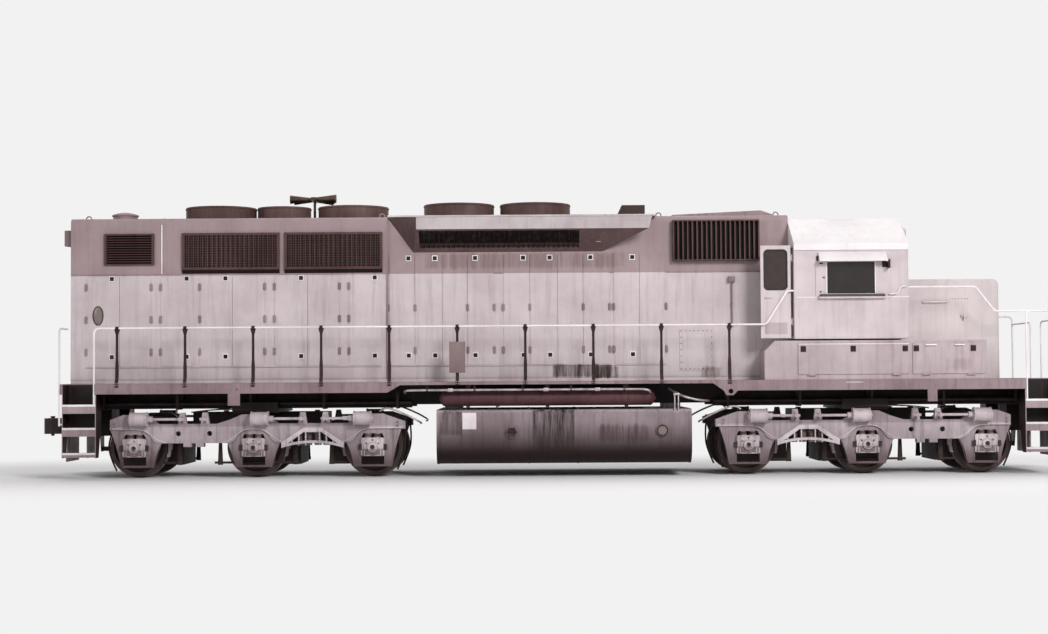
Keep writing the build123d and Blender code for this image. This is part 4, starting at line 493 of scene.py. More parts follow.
def insetFaces(test, thickness, depth=0.0):
    pickFaces(test)
    bpy.ops.mesh.inset(thickness=thickness, depth=depth)


def boreFaces(test, thickness):
    # opposite faces are inset and joined through the piece
    insetFaces(test, thickness)
    bpy.ops.mesh.bridge_edge_loops()


def facesViewer(middle, normal):
    return normal.y < -0.9


def facesEitherSide(middle, normal):
    return abs(normal.y) > 0.9


def applyModifier(piece, name, kind, **settings):
    change = piece.modifiers.new(name, kind)
    for key, value in settings.items():
        setattr(change, key, value)
    bpy.ops.object.modifier_apply(modifier=change.name)


def closePiece(edge=0.0, segments=2):
    # normals outward, edges rounded, back to object mode
    piece = bpy.context.object
    bpy.ops.mesh.select_all(action="SELECT")
    bpy.ops.mesh.normals_make_consistent(inside=False)
    bpy.ops.object.mode_set(mode="OBJECT")
    if edge:
        applyModifier(
            piece, "rounding", "BEVEL", width=edge, segments=segments, limit_method="ANGLE",
            angle_limit=math.radians(40),
        )
    bpy.ops.object.shade_smooth_by_angle(angle=math.radians(35))
    return piece


def makePiece(name, shapes, *rounding):
    startPiece(name, *shapes)
    return closePiece(*rounding)


def thinAxis(low, high):
    spans = [b - a for a, b in zip(low, high)]
    return spans.index(min(spans)), min(spans)


def pierce(low, high, width):
    # the selected block becomes a frame, open through its thinnest side
    thin = thinAxis(low, high)[0]
    data = bpy.context.object.data
    bpy.ops.mesh.select_mode(type="FACE")
    for face in bmesh.from_edit_mesh(data).faces:
        face.select_set(face.select and abs(face.normal[thin]) > 0.9)
    bmesh.update_edit_mesh(data)
    bpy.ops.mesh.inset(thickness=width)
    bpy.ops.mesh.bridge_edge_loops()


def addFrame(low, high, width):
    addShape(low, high)
    pierce(low, high, width)


def startFrames(name, frames, width):
    startPiece(name, frames[0])
    pierce(*frames[0], width)
    for low, high in frames[1:]:
        addFrame(low, high, width)


def roundCorners(low, high, radius, segments=8):
    # the block's four edges along its thinnest side are rounded
    thin, span = thinAxis(low, high)

    def runsThrough(edge):
        along = edge.verts[0].co - edge.verts[1].co
        return abs(abs(along[thin]) - span) < 1e-5 and along.length < span + 1e-4

    pickParts("EDGE", runsThrough)
    bpy.ops.mesh.bevel(offset=radius, segments=segments)


def circleSpots(count, radius, start=0.5):
    # places round a circle, as two distances from its middle
    turns = [(number + start) * 2 * math.pi / count for number in range(count)]
    return [(radius * math.cos(turn), radius * math.sin(turn)) for turn in turns]


def spread(low, high, count):
    return [low + (high - low) * number / (count - 1) for number in range(count)]


def gridSpots(grids):
    # each grid: depth, columns along X, rows
    return [(x, y, z) for y, columns, rows in grids for x in columns for z in rows]


def joinPieces(name, pieces):
    clearSelection()
    for piece in pieces:
        piece.select_set(True)
    bpy.context.view_layer.objects.active = pieces[0]
    if len(pieces) > 1:
        bpy.ops.object.join()
    bpy.ops.object.transform_apply()
    joined = bpy.context.object
    joined.name = name
    return joined


def copyPiece(piece, name, place=Matrix()):
    twin = piece.copy()
    twin.data = piece.data.copy()
    twin.name = name
    twin.matrix_world = place
    bpy.context.scene.collection.objects.link(twin)
    return twin


def repeatAt(pattern, name, spots, outward=(0, -1, 0)):
    # a pattern modelled at the origin, facing the viewer, is copied to each place, mesh and all
    turn = Vector((0, -1, 0)).rotation_difference(Vector(outward)).to_matrix().to_4x4()
    twins = [copyPiece(pattern, name, Matrix.Translation(spot) @ turn) for spot in spots]
    bpy.data.objects.remove(pattern)
    return joinPieces(name, twins)


def reflectOver(piece, keep=True):
    # the piece's mirror image on the other side; without keep, the first side goes
    clearSelection()
    piece.select_set(True)
    bpy.context.view_layer.objects.active = piece
    applyModifier(piece, "otherSide", "MIRROR", use_axis=(False, True, False), use_mirror_merge=False)
    bpy.ops.object.mode_set(mode="EDIT")
    bpy.ops.mesh.select_all(action="SELECT")
    bpy.ops.mesh.normals_make_consistent(inside=False)
    if not keep:
        pickFaces(lambda middle, normal: middle.y < 0)
        bpy.ops.mesh.delete(type="FACE")
    bpy.ops.object.mode_set(mode="OBJECT")
    return piece


def bendPipe(name, points, radius, sides=3):
    # a path drawn point by point, rounded into a tube with closed ends
    clearSelection()
    bpy.ops.curve.primitive_nurbs_path_add(location=(0, 0, 0))
    pipe = bpy.context.object
    pipe.name = name
    bpy.ops.object.mode_set(mode="EDIT")
    bpy.ops.curve.select_all(action="SELECT")
    bpy.ops.curve.delete(type="VERT")
    for place in points:
        bpy.ops.curve.vertex_add(location=place)
    bpy.ops.curve.select_all(action="SELECT")
    bpy.ops.curve.spline_type_set(type="POLY")
    bpy.ops.curve.spline_type_set(type="NURBS")
    bpy.ops.object.mode_set(mode="OBJECT")
    pipe.data.splines[0].order_u = 3
    pipe.data.splines[0].use_endpoint_u = True
    pipe.data.resolution_u = 5
    pipe.data.bevel_depth = radius
    pipe.data.bevel_resolution = sides
    pipe.data.use_fill_caps = True
    bpy.ops.object.convert(target="MESH")
    bpy.ops.object.shade_smooth_by_angle(angle=math.radians(50))
    return bpy.context.object


def settle(piece, finish, body="body", mirrored=False):
    # the finished piece gets its other side, its material and the body that it rides on
    if mirrored:
        reflectOver(piece)
    piece.data.materials.clear()
    piece.data.materials.append(materials[finish])
    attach(piece, body)
    return piece


def settleBothSides(piece, finish, body="body"):
    return settle(piece, finish, body, True)


def makePlainPieces(table):
    # name: finish, slot, rounding, on both sides, blocks and bars
    for name, (finish, slot, rounding, mirrored, shapes) in table.items():
        settle(makePiece(name, shapes, *rounding), finish, "body", mirrored)


def boltHead(radius, sides=6):
    # a hexagon head on a round washer, facing the viewer
    washer = ((0, 0.002, 0), (0, -0.25 * radius, 0), 1.35 * radius, 12)
    return makePiece("boltHead", [washer, ((0, 0, 0), (0, -radius, 0), radius, sides)], 0.12 * radius, 1)


halfTurn = Matrix.Rotation(math.pi, 4, "Z")


def forBothTrucks(makers):
    # pieces are made for the truck under the nose; the other truck's are the same, turned about
    for name, finish, slot, maker in makers:
        front = reflectOver(maker(name + "Front"))
        rear = joinPieces(name + "Rear", [copyPiece(front, name + "Rear", halfTurn)])
        settle(front, finish, "truck_front")
        settle(rear, finish, "truck_rear")


def bothEnds(piece):
    # the same piece at the other end, turned about
    name = piece.name
    return joinPieces(name, [piece, copyPiece(piece, name, halfTurn)])


# Hood doors: hinges, latches, the sight glass, the bolted panel and the strips along the hood

hinges = {
    "leaf": ((-0.027, -0.018, -0.056), (0.027, 0.001, 0.056)),
    # three knuckles turn on one pin; the leaf is held by six screws
    "knuckles": ((-0.066, -0.024, 0.012), (-0.021, 0.021, 0.012), (0.024, 0.066, 0.012)),
    "pin": ((0, -0.018, -0.068), (0, -0.018, 0.068), 0.0084, 10),
    "screws": [
        ((x, -0.018, z), (x, -0.023, z), 0.005, 6) for x in (-0.019, 0.019) for z in (-0.038, 0, 0.038)
    ],
    # depth, columns along X, rows
    "grids": (
        (-0.98, (-8.29, -7.155, -6.985, -6.3, -5.165, -4.99, -3.855, -3.685), (3.341, 2.774, 2.206)),
        (-0.914, (-3, -2.533, -1.608, -1.143, -0.982, -0.516, 0.421, 0.883, 0.956, 1.874), (2.953, 2.207)),
    ),
}


def makeHinges():
    startPiece("hinge", hinges["leaf"])
    insetFaces(facesViewer, 0.006, 0.002)
    addShapes([((0, -0.018, low), (0, -0.018, high), radius) for low, high, radius in hinges["knuckles"]])
    addShapes([hinges["pin"], *hinges["screws"]])
    piece = repeatAt(closePiece(0.0012, 1), "hoodHinges", gridSpots(hinges["grids"]))
    settleBothSides(piece, "hingeEnamel")


makeHinges()

latches = {
    "rim": ((-0.05, -0.012, -0.05), (0.05, 0.001, 0.05)), "rimWidth": 0.014,
    # the dark pan behind the rim, the paddle that lies in it and the paddle's pin
    "pan": ((-0.035, -0.002, -0.035), (0.035, 0.001, 0.035)),
    "paddle": ((-0.018, -0.01, -0.03), (0.018, -0.001, 0.022)),
    "pin": ((-0.022, -0.008, 0.016), (0.022, -0.008, 0.016), 0.006, 10),
    "grids": (
        (-0.992, (-7.841, -6.53, -5.85, -4.525, -3.234), (3.49, 2.12)),
        (-0.926, (-2.645, -2.182, -1.475, -0.631, -0.164, 0.55, 1.287), (3.825, 2.117)),
    ),
}


def makeLatches():
    spots = gridSpots(latches["grids"])
    startFrames("latchRim", [latches["rim"]], latches["rimWidth"])
    settleBothSides(repeatAt(closePiece(0.002), "latchRims", spots), "railEnamel")
    startPiece("latchHandle", latches["pan"], latches["paddle"])
    pickFaces(lambda middle, normal: normal.y < -0.9 and middle.y < -0.009)
    bpy.ops.transform.resize(value=(0.7, 1, 0.8))
    addShape(*latches["pin"])
    settleBothSides(repeatAt(closePiece(0.0015, 1), "latchHandles", spots), "blackEnamel")


makeLatches()

porthole = {"middle": (-8.081, -0.992, 2.846), "halfWidth": 0.095, "halfHeight": 0.17, "rim": 0.016}


def makePorthole():
    x, y, z = porthole["middle"]
    wide = porthole["halfWidth"]
    stretch = (1, 1, porthole["halfHeight"] / wide)
    startPiece("portholeRim", ((x, y + 0.001, z), (x, y - 0.014, z), wide, 40))
    bpy.ops.transform.resize(value=stretch)
    boreFaces(facesEitherSide, porthole["rim"])
    settle(closePiece(0.003), "gasketRubber")
    startPiece("portholeGlass", ((x, y + 0.001, z), (x, y - 0.005, z), wide - 0.012, 40))
    bpy.ops.transform.resize(value=stretch)
    insetFaces(facesViewer, 0.02, 0.004)
    settle(closePiece(), "sightGlass")


makePorthole()

panel = {"x": (2.135, 2.67), "z": (1.859, 2.523), "face": -0.926, "boltRadius": 0.008, "bolts": (8, 7)}


def makePanelBolts():
    across = spread(*panel["x"], panel["bolts"][0])
    up = spread(*panel["z"], panel["bolts"][1])
    spots = [(x, panel["face"], z) for x in across for z in panel["z"]]
    spots += [(x, panel["face"], z) for z in up[1:-1] for x in panel["x"]]
    settleBothSides(repeatAt(boltHead(panel["boltRadius"]), "panelBolts", spots), "boltSteel")


makePanelBolts()

screens = {
    # wire screens over the radiator shutters; the real mesh is 12 mm, coarser here so that it shows
    "panels": ((-6.57, -4.94), (-4.775, -3.136)), "z": (3.684, 4.248), "face": -1.0265, "pitch": 0.04,
    "wire": 0.0038,
}


def makeScreens():
    made = []
    bottom, top = screens["z"]
    y, wire, pitch = screens["face"], screens["wire"], screens["pitch"]
    for left, right in screens["panels"]:
        columns = spread(left, right, int((right - left) / pitch))
        rows = spread(bottom, top, int((top - bottom) / pitch))
        shapes = [((left, y, bottom), (left, y, top), 2 * wire, 8)]
        shapes += [((x, y, bottom), (x, y, top), wire, 4) for x in columns[1:]]
        shapes += [((left, y - wire, z), (right, y - wire, z), wire, 4) for z in rows]
        made.append(makePiece("screens", shapes))
    settleBothSides(joinPieces("screens", made), "fanEnamel")


makeScreens()

hoodStrips = {
    # name: finish, slot, rounding, on both sides, blocks and bars
    "hoodDripStrips": ("upperEnamel", "upper_paint", (0.002,), True, [
        ((-8.56, -0.99, 3.548), (-3.013, -0.97, 3.572)),
        ((-3.01, -0.924, 3.548), (4.028, -0.904, 3.572)),
    ]),
    "hoodFootAngles": ("hoodEnamel", "body_paint", (0.002,), True, [
        ((-8.56, -1.01, 1.6545), (-3.013, -0.978, 1.675)),
        ((-8.56, -0.988, 1.66), (-3.013, -0.975, 1.705)),
        ((-3.01, -0.944, 1.6545), (4.028, -0.912, 1.675)),
        ((-3.01, -0.922, 1.66), (4.028, -0.909, 1.705)),
    ]),
    "doorSills": ("hoodEnamel", "body_paint", (0.002,), True, [
        ((-8.3, -0.998, 1.928), (-3.115, -0.972, 1.944)),
        ((-2.995, -0.932, 1.928), (1.875, -0.906, 1.944)),
    ]),
    "hoodJoints": ("upperEnamel", "upper_paint", (0.002,), True, [
        ((-6.985, -0.986, 3.56), (-6.94, -0.97, 4.455)),
        ((-3.04, -0.986, 1.7), (-3.005, -0.905, 4.455)),
    ]),
    # painted highlight: the strip at the joint takes the near-white rail enamel
    "jointStrips": ("railEnamel", "body_paint", (0.002,), True, [
        ((-6.977, -0.9895, 3.575), (-6.958, -0.979, 4.44)),
    ]),
    "roofJoints": ("upperEnamel", "upper_paint", (0.002,), True, [
        ((x - 0.022, -0.86, 4.553), (x + 0.022, -0.0005, 4.561)) for x in (-7.6, -6.95, -5.42, -4.44, -3.03)
    ] + [((x - 0.022, -0.8, 4.583), (x + 0.022, -0.0005, 4.591)) for x in (-2.55, -1.09, 0.32, 0.98)]),
    "beltStrips": ("railEnamel", "body_paint", (0.002,), True, [
        ((4.073, -1.5665, 3.062), (4.44, -1.56, 3.078)),
        ((5.615, -1.5665, 3.062), (5.999, -1.56, 3.078)),
    ]),
    "cabSeams": ("cabEnamel", "body_paint", (0.002,), True, [
        ((4.04, -1.5655, 2.362), (5.995, -1.56, 2.384)),
        ((4.036, -1.5655, 2.36), (4.052, -1.56, 3.88)),
        ((5.984, -1.5655, 2.36), (5.998, -1.56, 3.88)),
    ]),
    "windowPosts": ("railEnamel", "rail_paint", (0.002,), True, [
        ((4.583, -1.572, 3.117), (4.603, -1.556, 3.675)),
        ((5.421, -1.572, 3.117), (5.441, -1.556, 3.675)),
        ((4.583, -1.568, 3.117), (5.441, -1.548, 3.131)),
    ]),
    "stepNosings": ("railEnamel", "rail_paint", (0.002,), True, [
        ((x - 0.286, -1.5395, z - 0.03), (x + 0.286, -1.5, z + 0.006))
        for x in (-8.283, 8.283) for z in (1.296, 0.897, 0.466)
    ]),
}
makePlainPieces(hoodStrips)

stanchionTop = ((-0.048, -1.542, 2.485), (0.048, -1.518, 2.592))
stanchionColumns = spread(-7.627, 2.912, 10)


def makeStanchionTops():
    # the forked clamp that widens from each stanchion up to the rail
    startPiece("stanchionTops", stanchionTop)
    pickFaces(lambda middle, normal: normal.z < -0.9)
    bpy.ops.transform.resize(value=(0.4, 1, 1))
    piece = repeatAt(closePiece(0.003, 1), "stanchionTops", [(x, 0, 0) for x in stanchionColumns])
    settleBothSides(piece, "blackEnamel")


makeStanchionTops()
print("hood doors fitted out")


# Cab: gaskets, wipers, wind wings, arm rests, seats, grabs and the doors' fittings

gaskets = [
    # low corner, high corner, width, on both sides
    ((4.583, -1.545, 3.117), (5.441, -1.53, 3.675), 0.018, True),
    ((5.984, -0.86, 3.48), (6.006, -0.13, 3.89), 0.024, True),
    ((5.984, -1.455, 3.14), (6.006, -0.965, 3.87), 0.024, False),
    ((4.026, 0.965, 3.14), (4.048, 1.455, 3.87), 0.024, False),
]


def makeGaskets():
    made = []
    for low, high, width, mirrored in gaskets:
        startFrames("gasket", [(low, high)], width)
        piece = closePiece(0.004)
        made.append(reflectOver(piece) if mirrored else piece)
    settle(joinPieces("cabGaskets", made), "gasketRubber")


makeGaskets()

makePlainPieces({
    # name: finish, slot, rounding, on both sides, blocks and bars
    "wiper": ("gasketRubber", "grille_black", (0.002, 1), True, [
        # the arm hangs from a pivot over the pane, the blade lies along the glass
        ((5.995, -0.495, 3.915), (6.035, -0.495, 3.915), 0.016),
        ((6.026, -0.495, 3.915), (6.018, -0.4, 3.7), 0.006, 8),
        ((6.002, -0.406, 3.55), (6.016, -0.394, 3.85)),
    ]),
})

windWing = {
    # a pane in a dark frame that swings out on a plate and two lugs
    "frame": ((5.634, -1.716, 3.562), (5.664, -1.568, 3.712)), "frameWidth": 0.014,
    "plate": ((5.55, -1.578, 3.582), (5.664, -1.568, 3.692)),
    "lugs": [((5.649, -1.572, z), (5.649, -1.56, z), 0.009) for z in (3.597, 3.677)],
    "pane": ((5.646, -1.704, 3.574), (5.652, -1.58, 3.7)),
}


def makeWindWings():
    startFrames("windWing", [windWing["frame"]], windWing["frameWidth"])
    addShapes([windWing["plate"], *windWing["lugs"]])
    settleBothSides(closePiece(0.003), "blackEnamel")
    settleBothSides(makePiece("windWingPane", [windWing["pane"]], 0.001, 1), "sightGlass")


makeWindWings()

armRest = {"pad": ((4.47, -1.628, 3.078), (5.585, -1.566, 3.112)), "crown": 0.01}


def makeArmRests():
    # a padded strip on each ledge: crowned on top, pulled in at its lower edge
    startPiece("armRests", armRest["pad"])
    bpy.ops.mesh.subdivide(number_cuts=5)
    pickFaces(lambda middle, normal: normal.z > 0.9)
    bpy.ops.transform.resize(value=(0.995, 0.72, 1))
    bpy.ops.transform.translate(value=(0, 0, armRest["crown"]))
    pickFaces(lambda middle, normal: normal.z < -0.9)
    bpy.ops.transform.resize(value=(0.998, 0.9, 1))
    piece = closePiece(0.004)
    applyModifier(piece, "padding", "SUBSURF", levels=1, render_levels=1)
    settleBothSides(piece, "seatVinyl")


makeArmRests()

seats = {
    # the pads' corners along X and up, and where the seat stands across the cab
    "side": 1.08, "half": 0.235, "cushionX": (4.755, 5.135), "cushionZ": (2.904, 3.0),
    "backX": (4.748, 4.8), "backZ": (2.962, 3.42), "channels": 4, "swell": 0.022, "pull": 0.012,
}


def makeCushion(name, low, high, up):
    # a stuffed pad: swollen in the middle, pulled in at its piped edges, sewn in channels
    startPiece(name, (low, high))
    bpy.ops.mesh.subdivide(number_cuts=9)
    middle = [(a + b) / 2 for a, b in zip(low, high)]
    half = [(b - a) / 2 for a, b in zip(low, high)]
    data = bpy.context.object.data
    for corner in bmesh.from_edit_mesh(data).verts:
        share = [(corner.co[i] - middle[i]) / half[i] for i in range(3)]
        flat = [abs(share[i]) for i in range(3) if i != up]
        crown = (1 - flat[0] ** 4) * (1 - flat[1] ** 4)
        seam = abs(math.sin(share[1] * math.pi * seats["channels"] / 2)) ** 0.5
        if share[up] > 0:
            corner.co[up] += seats["swell"] * crown * (0.45 + 0.55 * seam) * share[up]
        for i in range(3):
            if i != up:
                corner.co[i] -= seats["pull"] * share[i] * (1 - crown) * abs(share[up])
    bmesh.update_edit_mesh(data)
    piece = closePiece()
    applyModifier(piece, "padding", "SUBSURF", levels=1, render_levels=1)
    settle(piece, "seatVinyl")


def makeSeats():
    half = seats["half"]
    for name, y in (("Right", -seats["side"]), ("Left", seats["side"])):
        for part, narrow, up in (("cushion", 0.0, 2), ("back", 0.01, 0)):
            xs, zs = seats[part + "X"], seats[part + "Z"]
            low = (xs[0], y - half + narrow, zs[0])
            high = (xs[1], y + half - narrow, zs[1])
            makeCushion("seat" + part.capitalize() + name, low, high, up)


makeSeats()

pipes = {
    # name: radius, finish, slot, on both sides, points
    "cabGrab": (0.011, "railEnamel", "rail_paint", True, [
        (5.655, -1.562, 3.121), (5.655, -1.61, 3.121), (5.73, -1.618, 3.121), (5.8, -1.618, 3.13),
        (5.84, -1.618, 3.215), (5.88, -1.618, 3.249), (5.95, -1.61, 3.249), (5.96, -1.562, 3.249),
    ]),
    "noseGrab": (0.01, "railEnamel", "rail_paint", True, [
        (6.38, -0.914, 3.005), (6.38, -0.965, 3.005), (6.42, -0.972, 3.005), (6.591, -0.972, 3.005),
        (6.762, -0.972, 3.005), (6.802, -0.965, 3.005), (6.802, -0.914, 3.005),
    ]),
    "conduit": (0.014, "hingeEnamel", "body_paint", False, [
        (3.03, -0.935, 2.606), (3.03, -0.946, 2.64), (3.03, -0.946, 3.0), (3.03, -0.946, 3.34),
        (3.03, -0.94, 3.378),
    ]),
    "sillPipe": (0.021, "galvanizedPipe", "rail_paint", True, [
        (-2.7, -1.1, 1.47), (-2.72, -1.42, 1.5), (-2.56, -1.47, 1.512), (-2.2, -1.47, 1.512),
        (-0.6, -1.47, 1.512), (1.2, -1.47, 1.512), (1.48, -1.47, 1.508), (1.56, -1.43, 1.47),
        (1.56, -1.25, 1.42),
    ]),
    "airDropFront": (0.02, "galvanizedPipe", "frame_paint", True, [
        (1.9, -1.05, 1.52), (2.05, -1.38, 1.4), (2.3, -1.4, 1.33), (2.5, -1.32, 1.3), (2.6, -1.1, 1.3),
    ]),
}


def makePipes():
    for name, (radius, finish, slot, mirrored, points) in pipes.items():
        settle(bendPipe(name, points, radius), finish, "body", mirrored)


makePipes()

smallPieces = {
    # name: finish, slot, rounding, on both sides, blocks and bars
    "conduitHead": ("hingeEnamel", "body_paint", (0.01,), False, [
        ((2.965, -0.985, 3.372), (3.085, -0.912, 3.47)),
        ((3.005, -0.962, 2.585), (3.055, -0.912, 2.625)),
        ((3.008, -0.964, 2.98), (3.052, -0.912, 3.005)),
    ]),
    "noseBrackets": ("noseEnamel", "body_paint", (0.006,), True, [
        ((7.05, -0.955, 2.735), (7.155, -0.912, 2.785)),
        ((7.088, -0.985, 2.7), (7.118, -0.94, 2.775)),
        ((6.362, -0.922, 2.985), (6.398, -0.91, 3.025)),
        ((6.784, -0.922, 2.985), (6.82, -0.91, 3.025)),
    ]),
    "pipeHangers": ("blackEnamel", "frame_paint", (0.003,), True, [
        ((x - 0.02, -1.49, 1.485), (x + 0.02, -1.45, 1.606)) for x in (-2.3, -1.48, -0.65, 0.18, 1.1)
    ]),
    "pipeCouplings": ("galvanizedPipe", "rail_paint", (0.008,), True, [
        ((x - 0.045, -1.5, 1.482), (x + 0.045, -1.44, 1.542)) for x in (-1.9, -0.25, 0.64)
    ]),
    "railPlate": ("plateEnamel", "upper_paint", (0.003,), False, [
        ((-1.91, -1.556, 1.809), (-1.635, -1.548, 2.344)),
    ]),
    "tankPlate": ("railEnamel", "tank_paint", (0.003,), False, [
        ((-1.691, -1.512, 0.835), (-1.452, -1.498, 1.121)),
    ]),
    "flareFitting": ("railEnamel", "body_paint", (0.012,), False, [
        ((0.64, -1.09, 4.085), (0.74, -1.03, 4.125)),
    ]),
    "sillPatch": ("boxEnamel", "frame_paint", (0.004,), True, [
        ((4.9, -1.5665, 1.59), (5.2, -1.558, 1.62)),
    ]),
    "stanchionFeet": ("blackEnamel", "frame_paint", (0.004,), True, [
        ((x - 0.03, -1.583, 1.592), (x + 0.03, -1.56, 1.7)) for x in stanchionColumns
    ]),
    "sashLatches": ("gasketRubber", "grille_black", (0.002,), True, [
        ((4.47, -1.584, 3.64), (4.53, -1.574, 3.664)), ((4.47, -1.584, 3.15), (4.5, -1.574, 3.172)),
        ((4.52, -1.584, 3.4), (4.56, -1.574, 3.42)),
    ]),
    "awningEnds": ("blackEnamel", "grille_black", (0.003,), True, [
        ((4.42, -1.6, 3.69), (4.451, -1.56, 3.78)), ((5.621, -1.59, 3.7), (5.64, -1.56, 3.76)),
    ]),
}
makePlainPieces(smallPieces)

# What sits on the box doors is made once for the viewer's side; its twin rides on the other door
boxDoors = {
    # the door's reach along X, its latches, its two handles
    "battery": ((6.06, 7.3), (6.119, 7.099), ((6.274, 6.463), (6.781, 6.945))),
    "locker": ((4.091, 6.005), (4.177, 5.036, 5.93), ()),
}
boxFittings = {
    "face": -1.564, "latchHeight": 2.18,
    # the handles: height, depth, radius of the grip and of its posts, the posts' distance from the ends
    "gripHeight": 2.24, "gripDepth": -0.034, "grip": 0.011, "post": 0.009, "postInset": 0.012,
    "rim": ((-0.045, -0.01, -0.05), (0.045, 0.001, 0.05)), "rimWidth": 0.01,
    # within each rim: the pan, the round head of the bolt and its paddle
    "latch": [
        ((-0.034, -0.004, -0.038), (0.034, 0.001, 0.038)),
        ((-0.012, 0, -0.012), (-0.012, -0.016, -0.012), 0.016),
        ((-0.016, -0.016, -0.006), (0.026, -0.008, 0.012)),
    ],
}


def makeBoxDoorFittings():
    face, depth, inset = [boxFittings[key] for key in ("face", "gripDepth", "postInset")]
    for door, ((left, right), latchColumns, handles) in boxDoors.items():
        spots = [(x, face, boxFittings["latchHeight"]) for x in latchColumns]
        startFrames(door + "BoxLatches", shapesAt([boxFittings["rim"]], spots), boxFittings["rimWidth"])
        addShapes(shapesAt(boxFittings["latch"], spots))
        made = [(closePiece(0.002, 1), "blackEnamel")]
        # a small stop in the corner, then the handles or, without them, a lip along the top
        shapes = [((left + 0.02, -0.006, -0.005), (left + 0.021, 0.001, 0.022))]
        for low, high in handles:
            shapes.append(((low, depth, 0), (high, depth, 0), boxFittings["grip"]))
            posts = (low + inset, high - inset)
            shapes += [((x, 0.001, 0), (x, depth, 0), boxFittings["post"]) for x in posts]
        if not handles:
            shapes.append(((left + 0.01, -0.004, 0.018), (right - 0.01, 0.001, 0.03)))
        shapes = shifted(shapes, 0, face, boxFittings["gripHeight"])
        made.append((makePiece(door + "BoxHandles", shapes, 0.0015, 1), "railEnamel"))
        for piece, finish in made:
            twin = reflectOver(copyPiece(piece, piece.name + "Left"), keep=False)
            piece.name += "Right"
            settle(piece, finish, door + "_door_right")
            settle(twin, finish, door + "_door_left")


makeBoxDoorFittings()

# Seen when the box doors hang open: battery cases behind the rim of each opening
batteryRoom = {
    "openings": ((4.141, 5.955), (6.11, 7.25)), "height": (1.795, 2.24), "rimWidth": 0.026,
    # depths of the back, its front and the rim
    "base": -1.5415, "back": -1.5432, "rim": -1.5485,
    # one case from its corner: the case, its two terminals and its label plate left blank
    "case": [
        ((0.006, -1.5475, 0.006), (0.219, -1.5428, 0.1905)),
        ((0.0675, -1.5469, 0.1515), (0.0675, -1.5485, 0.1515), 0.011, 12),
        ((0.1575, -1.5469, 0.1515), (0.1575, -1.5485, 0.1515), 0.011, 12),
        ((0.06, -1.5485, 0.045), (0.165, -1.5469, 0.085)),
    ],
    # where the cases start along X and how many stand side by side, in two layers
    "rows": ((4.2605, 7), (6.23, 4)), "step": 0.225, "layers": (1.821, 2.0175),
}


def makeBatteryCases():
    base, back, rim, step = [batteryRoom[key] for key in ("base", "back", "rim", "step")]
    (bottom, top), openings = batteryRoom["height"], batteryRoom["openings"]
    backs = [((low, back, bottom), (high, base, top)) for low, high in openings]
    settleBothSides(makePiece("caseBacks", backs), "blackEnamel")
    rims = [((low, rim, bottom), (high, base, top)) for low, high in openings]
    startFrames("caseRims", rims, batteryRoom["rimWidth"])
    settleBothSides(closePiece(0.001, 1), "boxEnamel")
    spots = [
        (start + number * step, 0, z)
        for start, count in batteryRoom["rows"] for number in range(count) for z in batteryRoom["layers"]
    ]
    cases = repeatAt(makePiece("caseFront", batteryRoom["case"], 0.001, 1), "caseFronts", spots)
    settleBothSides(cases, "gasketRubber")


makeBatteryCases()

sideDoors = {
    # body: pane's low and high corner round the glass, the way that its faces look
    "cab_door_rear": ((3.528, -1.4755, 3.207), (3.922, -1.4645, 3.893), 1),
    "cab_door_front": ((6.0205, 0.992, 3.207), (6.0315, 1.386, 3.893), 0),
}
doorFittings = {
    "corner": 0.068, "gasket": 0.024, "gasketHalf": 0.0235, "kick": (2.44, 2.64), "kickHalf": 0.0205,
    "handleHeight": 3.06, "leafHalf": 0.019,
    # the lever's hub: distance from the door's edge, depth, radius; the lever: length, depth, radius
    "hub": (0.02, 0.014, 0.016), "lever": (0.11, 0.011, 0.0045),
}


def makeSideDoors():
    # each door gets a tinted pane, a rubber gasket on both faces, a kick plate and its handle
    corner, rubber = doorFittings["corner"], doorFittings["gasket"]
    for number, (body, (low, high, thin)) in enumerate(sideDoors.items()):
        middle = (low[thin] + high[thin]) / 2

        def across(values, depth):
            return [depth if axis == thin else value for axis, value in enumerate(values)]

        startPiece("doorPane" + str(number), (low, high))
        roundCorners(low, high, corner)
        # the pane is tinted near black: painted shade for the dark seen through it
        settle(closePiece(), "doorGlazingPaintedShade", body)
        half = doorFittings["gasketHalf"]
        outer = (
            across([v - rubber / 2 for v in low], middle - half),
            across([v + rubber / 2 for v in high], middle + half),
        )
        startPiece("doorGasket" + str(number), outer)
        roundCorners(*outer, corner + rubber / 2)
        pickFaces(lambda place, normal: True)
        pierce(*outer, rubber)
        settle(closePiece(0.002, 1), "gasketRubber", body)
        half = doorFittings["kickHalf"]
        bottom, top = doorFittings["kick"]
        shapes = [(across((*low[:2], bottom), middle - half), across((*high[:2], top), middle + half))]
        fromEdge, hubDepth, hubRadius = doorFittings["hub"]
        length, leverDepth, leverRadius = doorFittings["lever"]
        free = low[1 - thin] + fromEdge  # inside the doorway when the door is shut
        level = doorFittings["handleHeight"]
        hub, tip = (free, free, level), (free + length, free + length, level)
        for side in (-1, 1):
            # the lever lies just off the leaf and stops short of the rail
            face = middle + side * doorFittings["leafHalf"]
            lever = face + side * leverDepth
            shapes += [
                (across(hub, face), across(hub, face + side * hubDepth), hubRadius),
                (across(hub, lever), across(tip, lever), leverRadius, 10),
            ]
        settle(makePiece("doorKick" + str(number), shapes, 0.0015, 1), "boxEnamel", body)


makeSideDoors()
print("cab fitted out")


# Roof: guard wires and rolled rims on the fans, bolts, lifting eyes, lamps and number boards

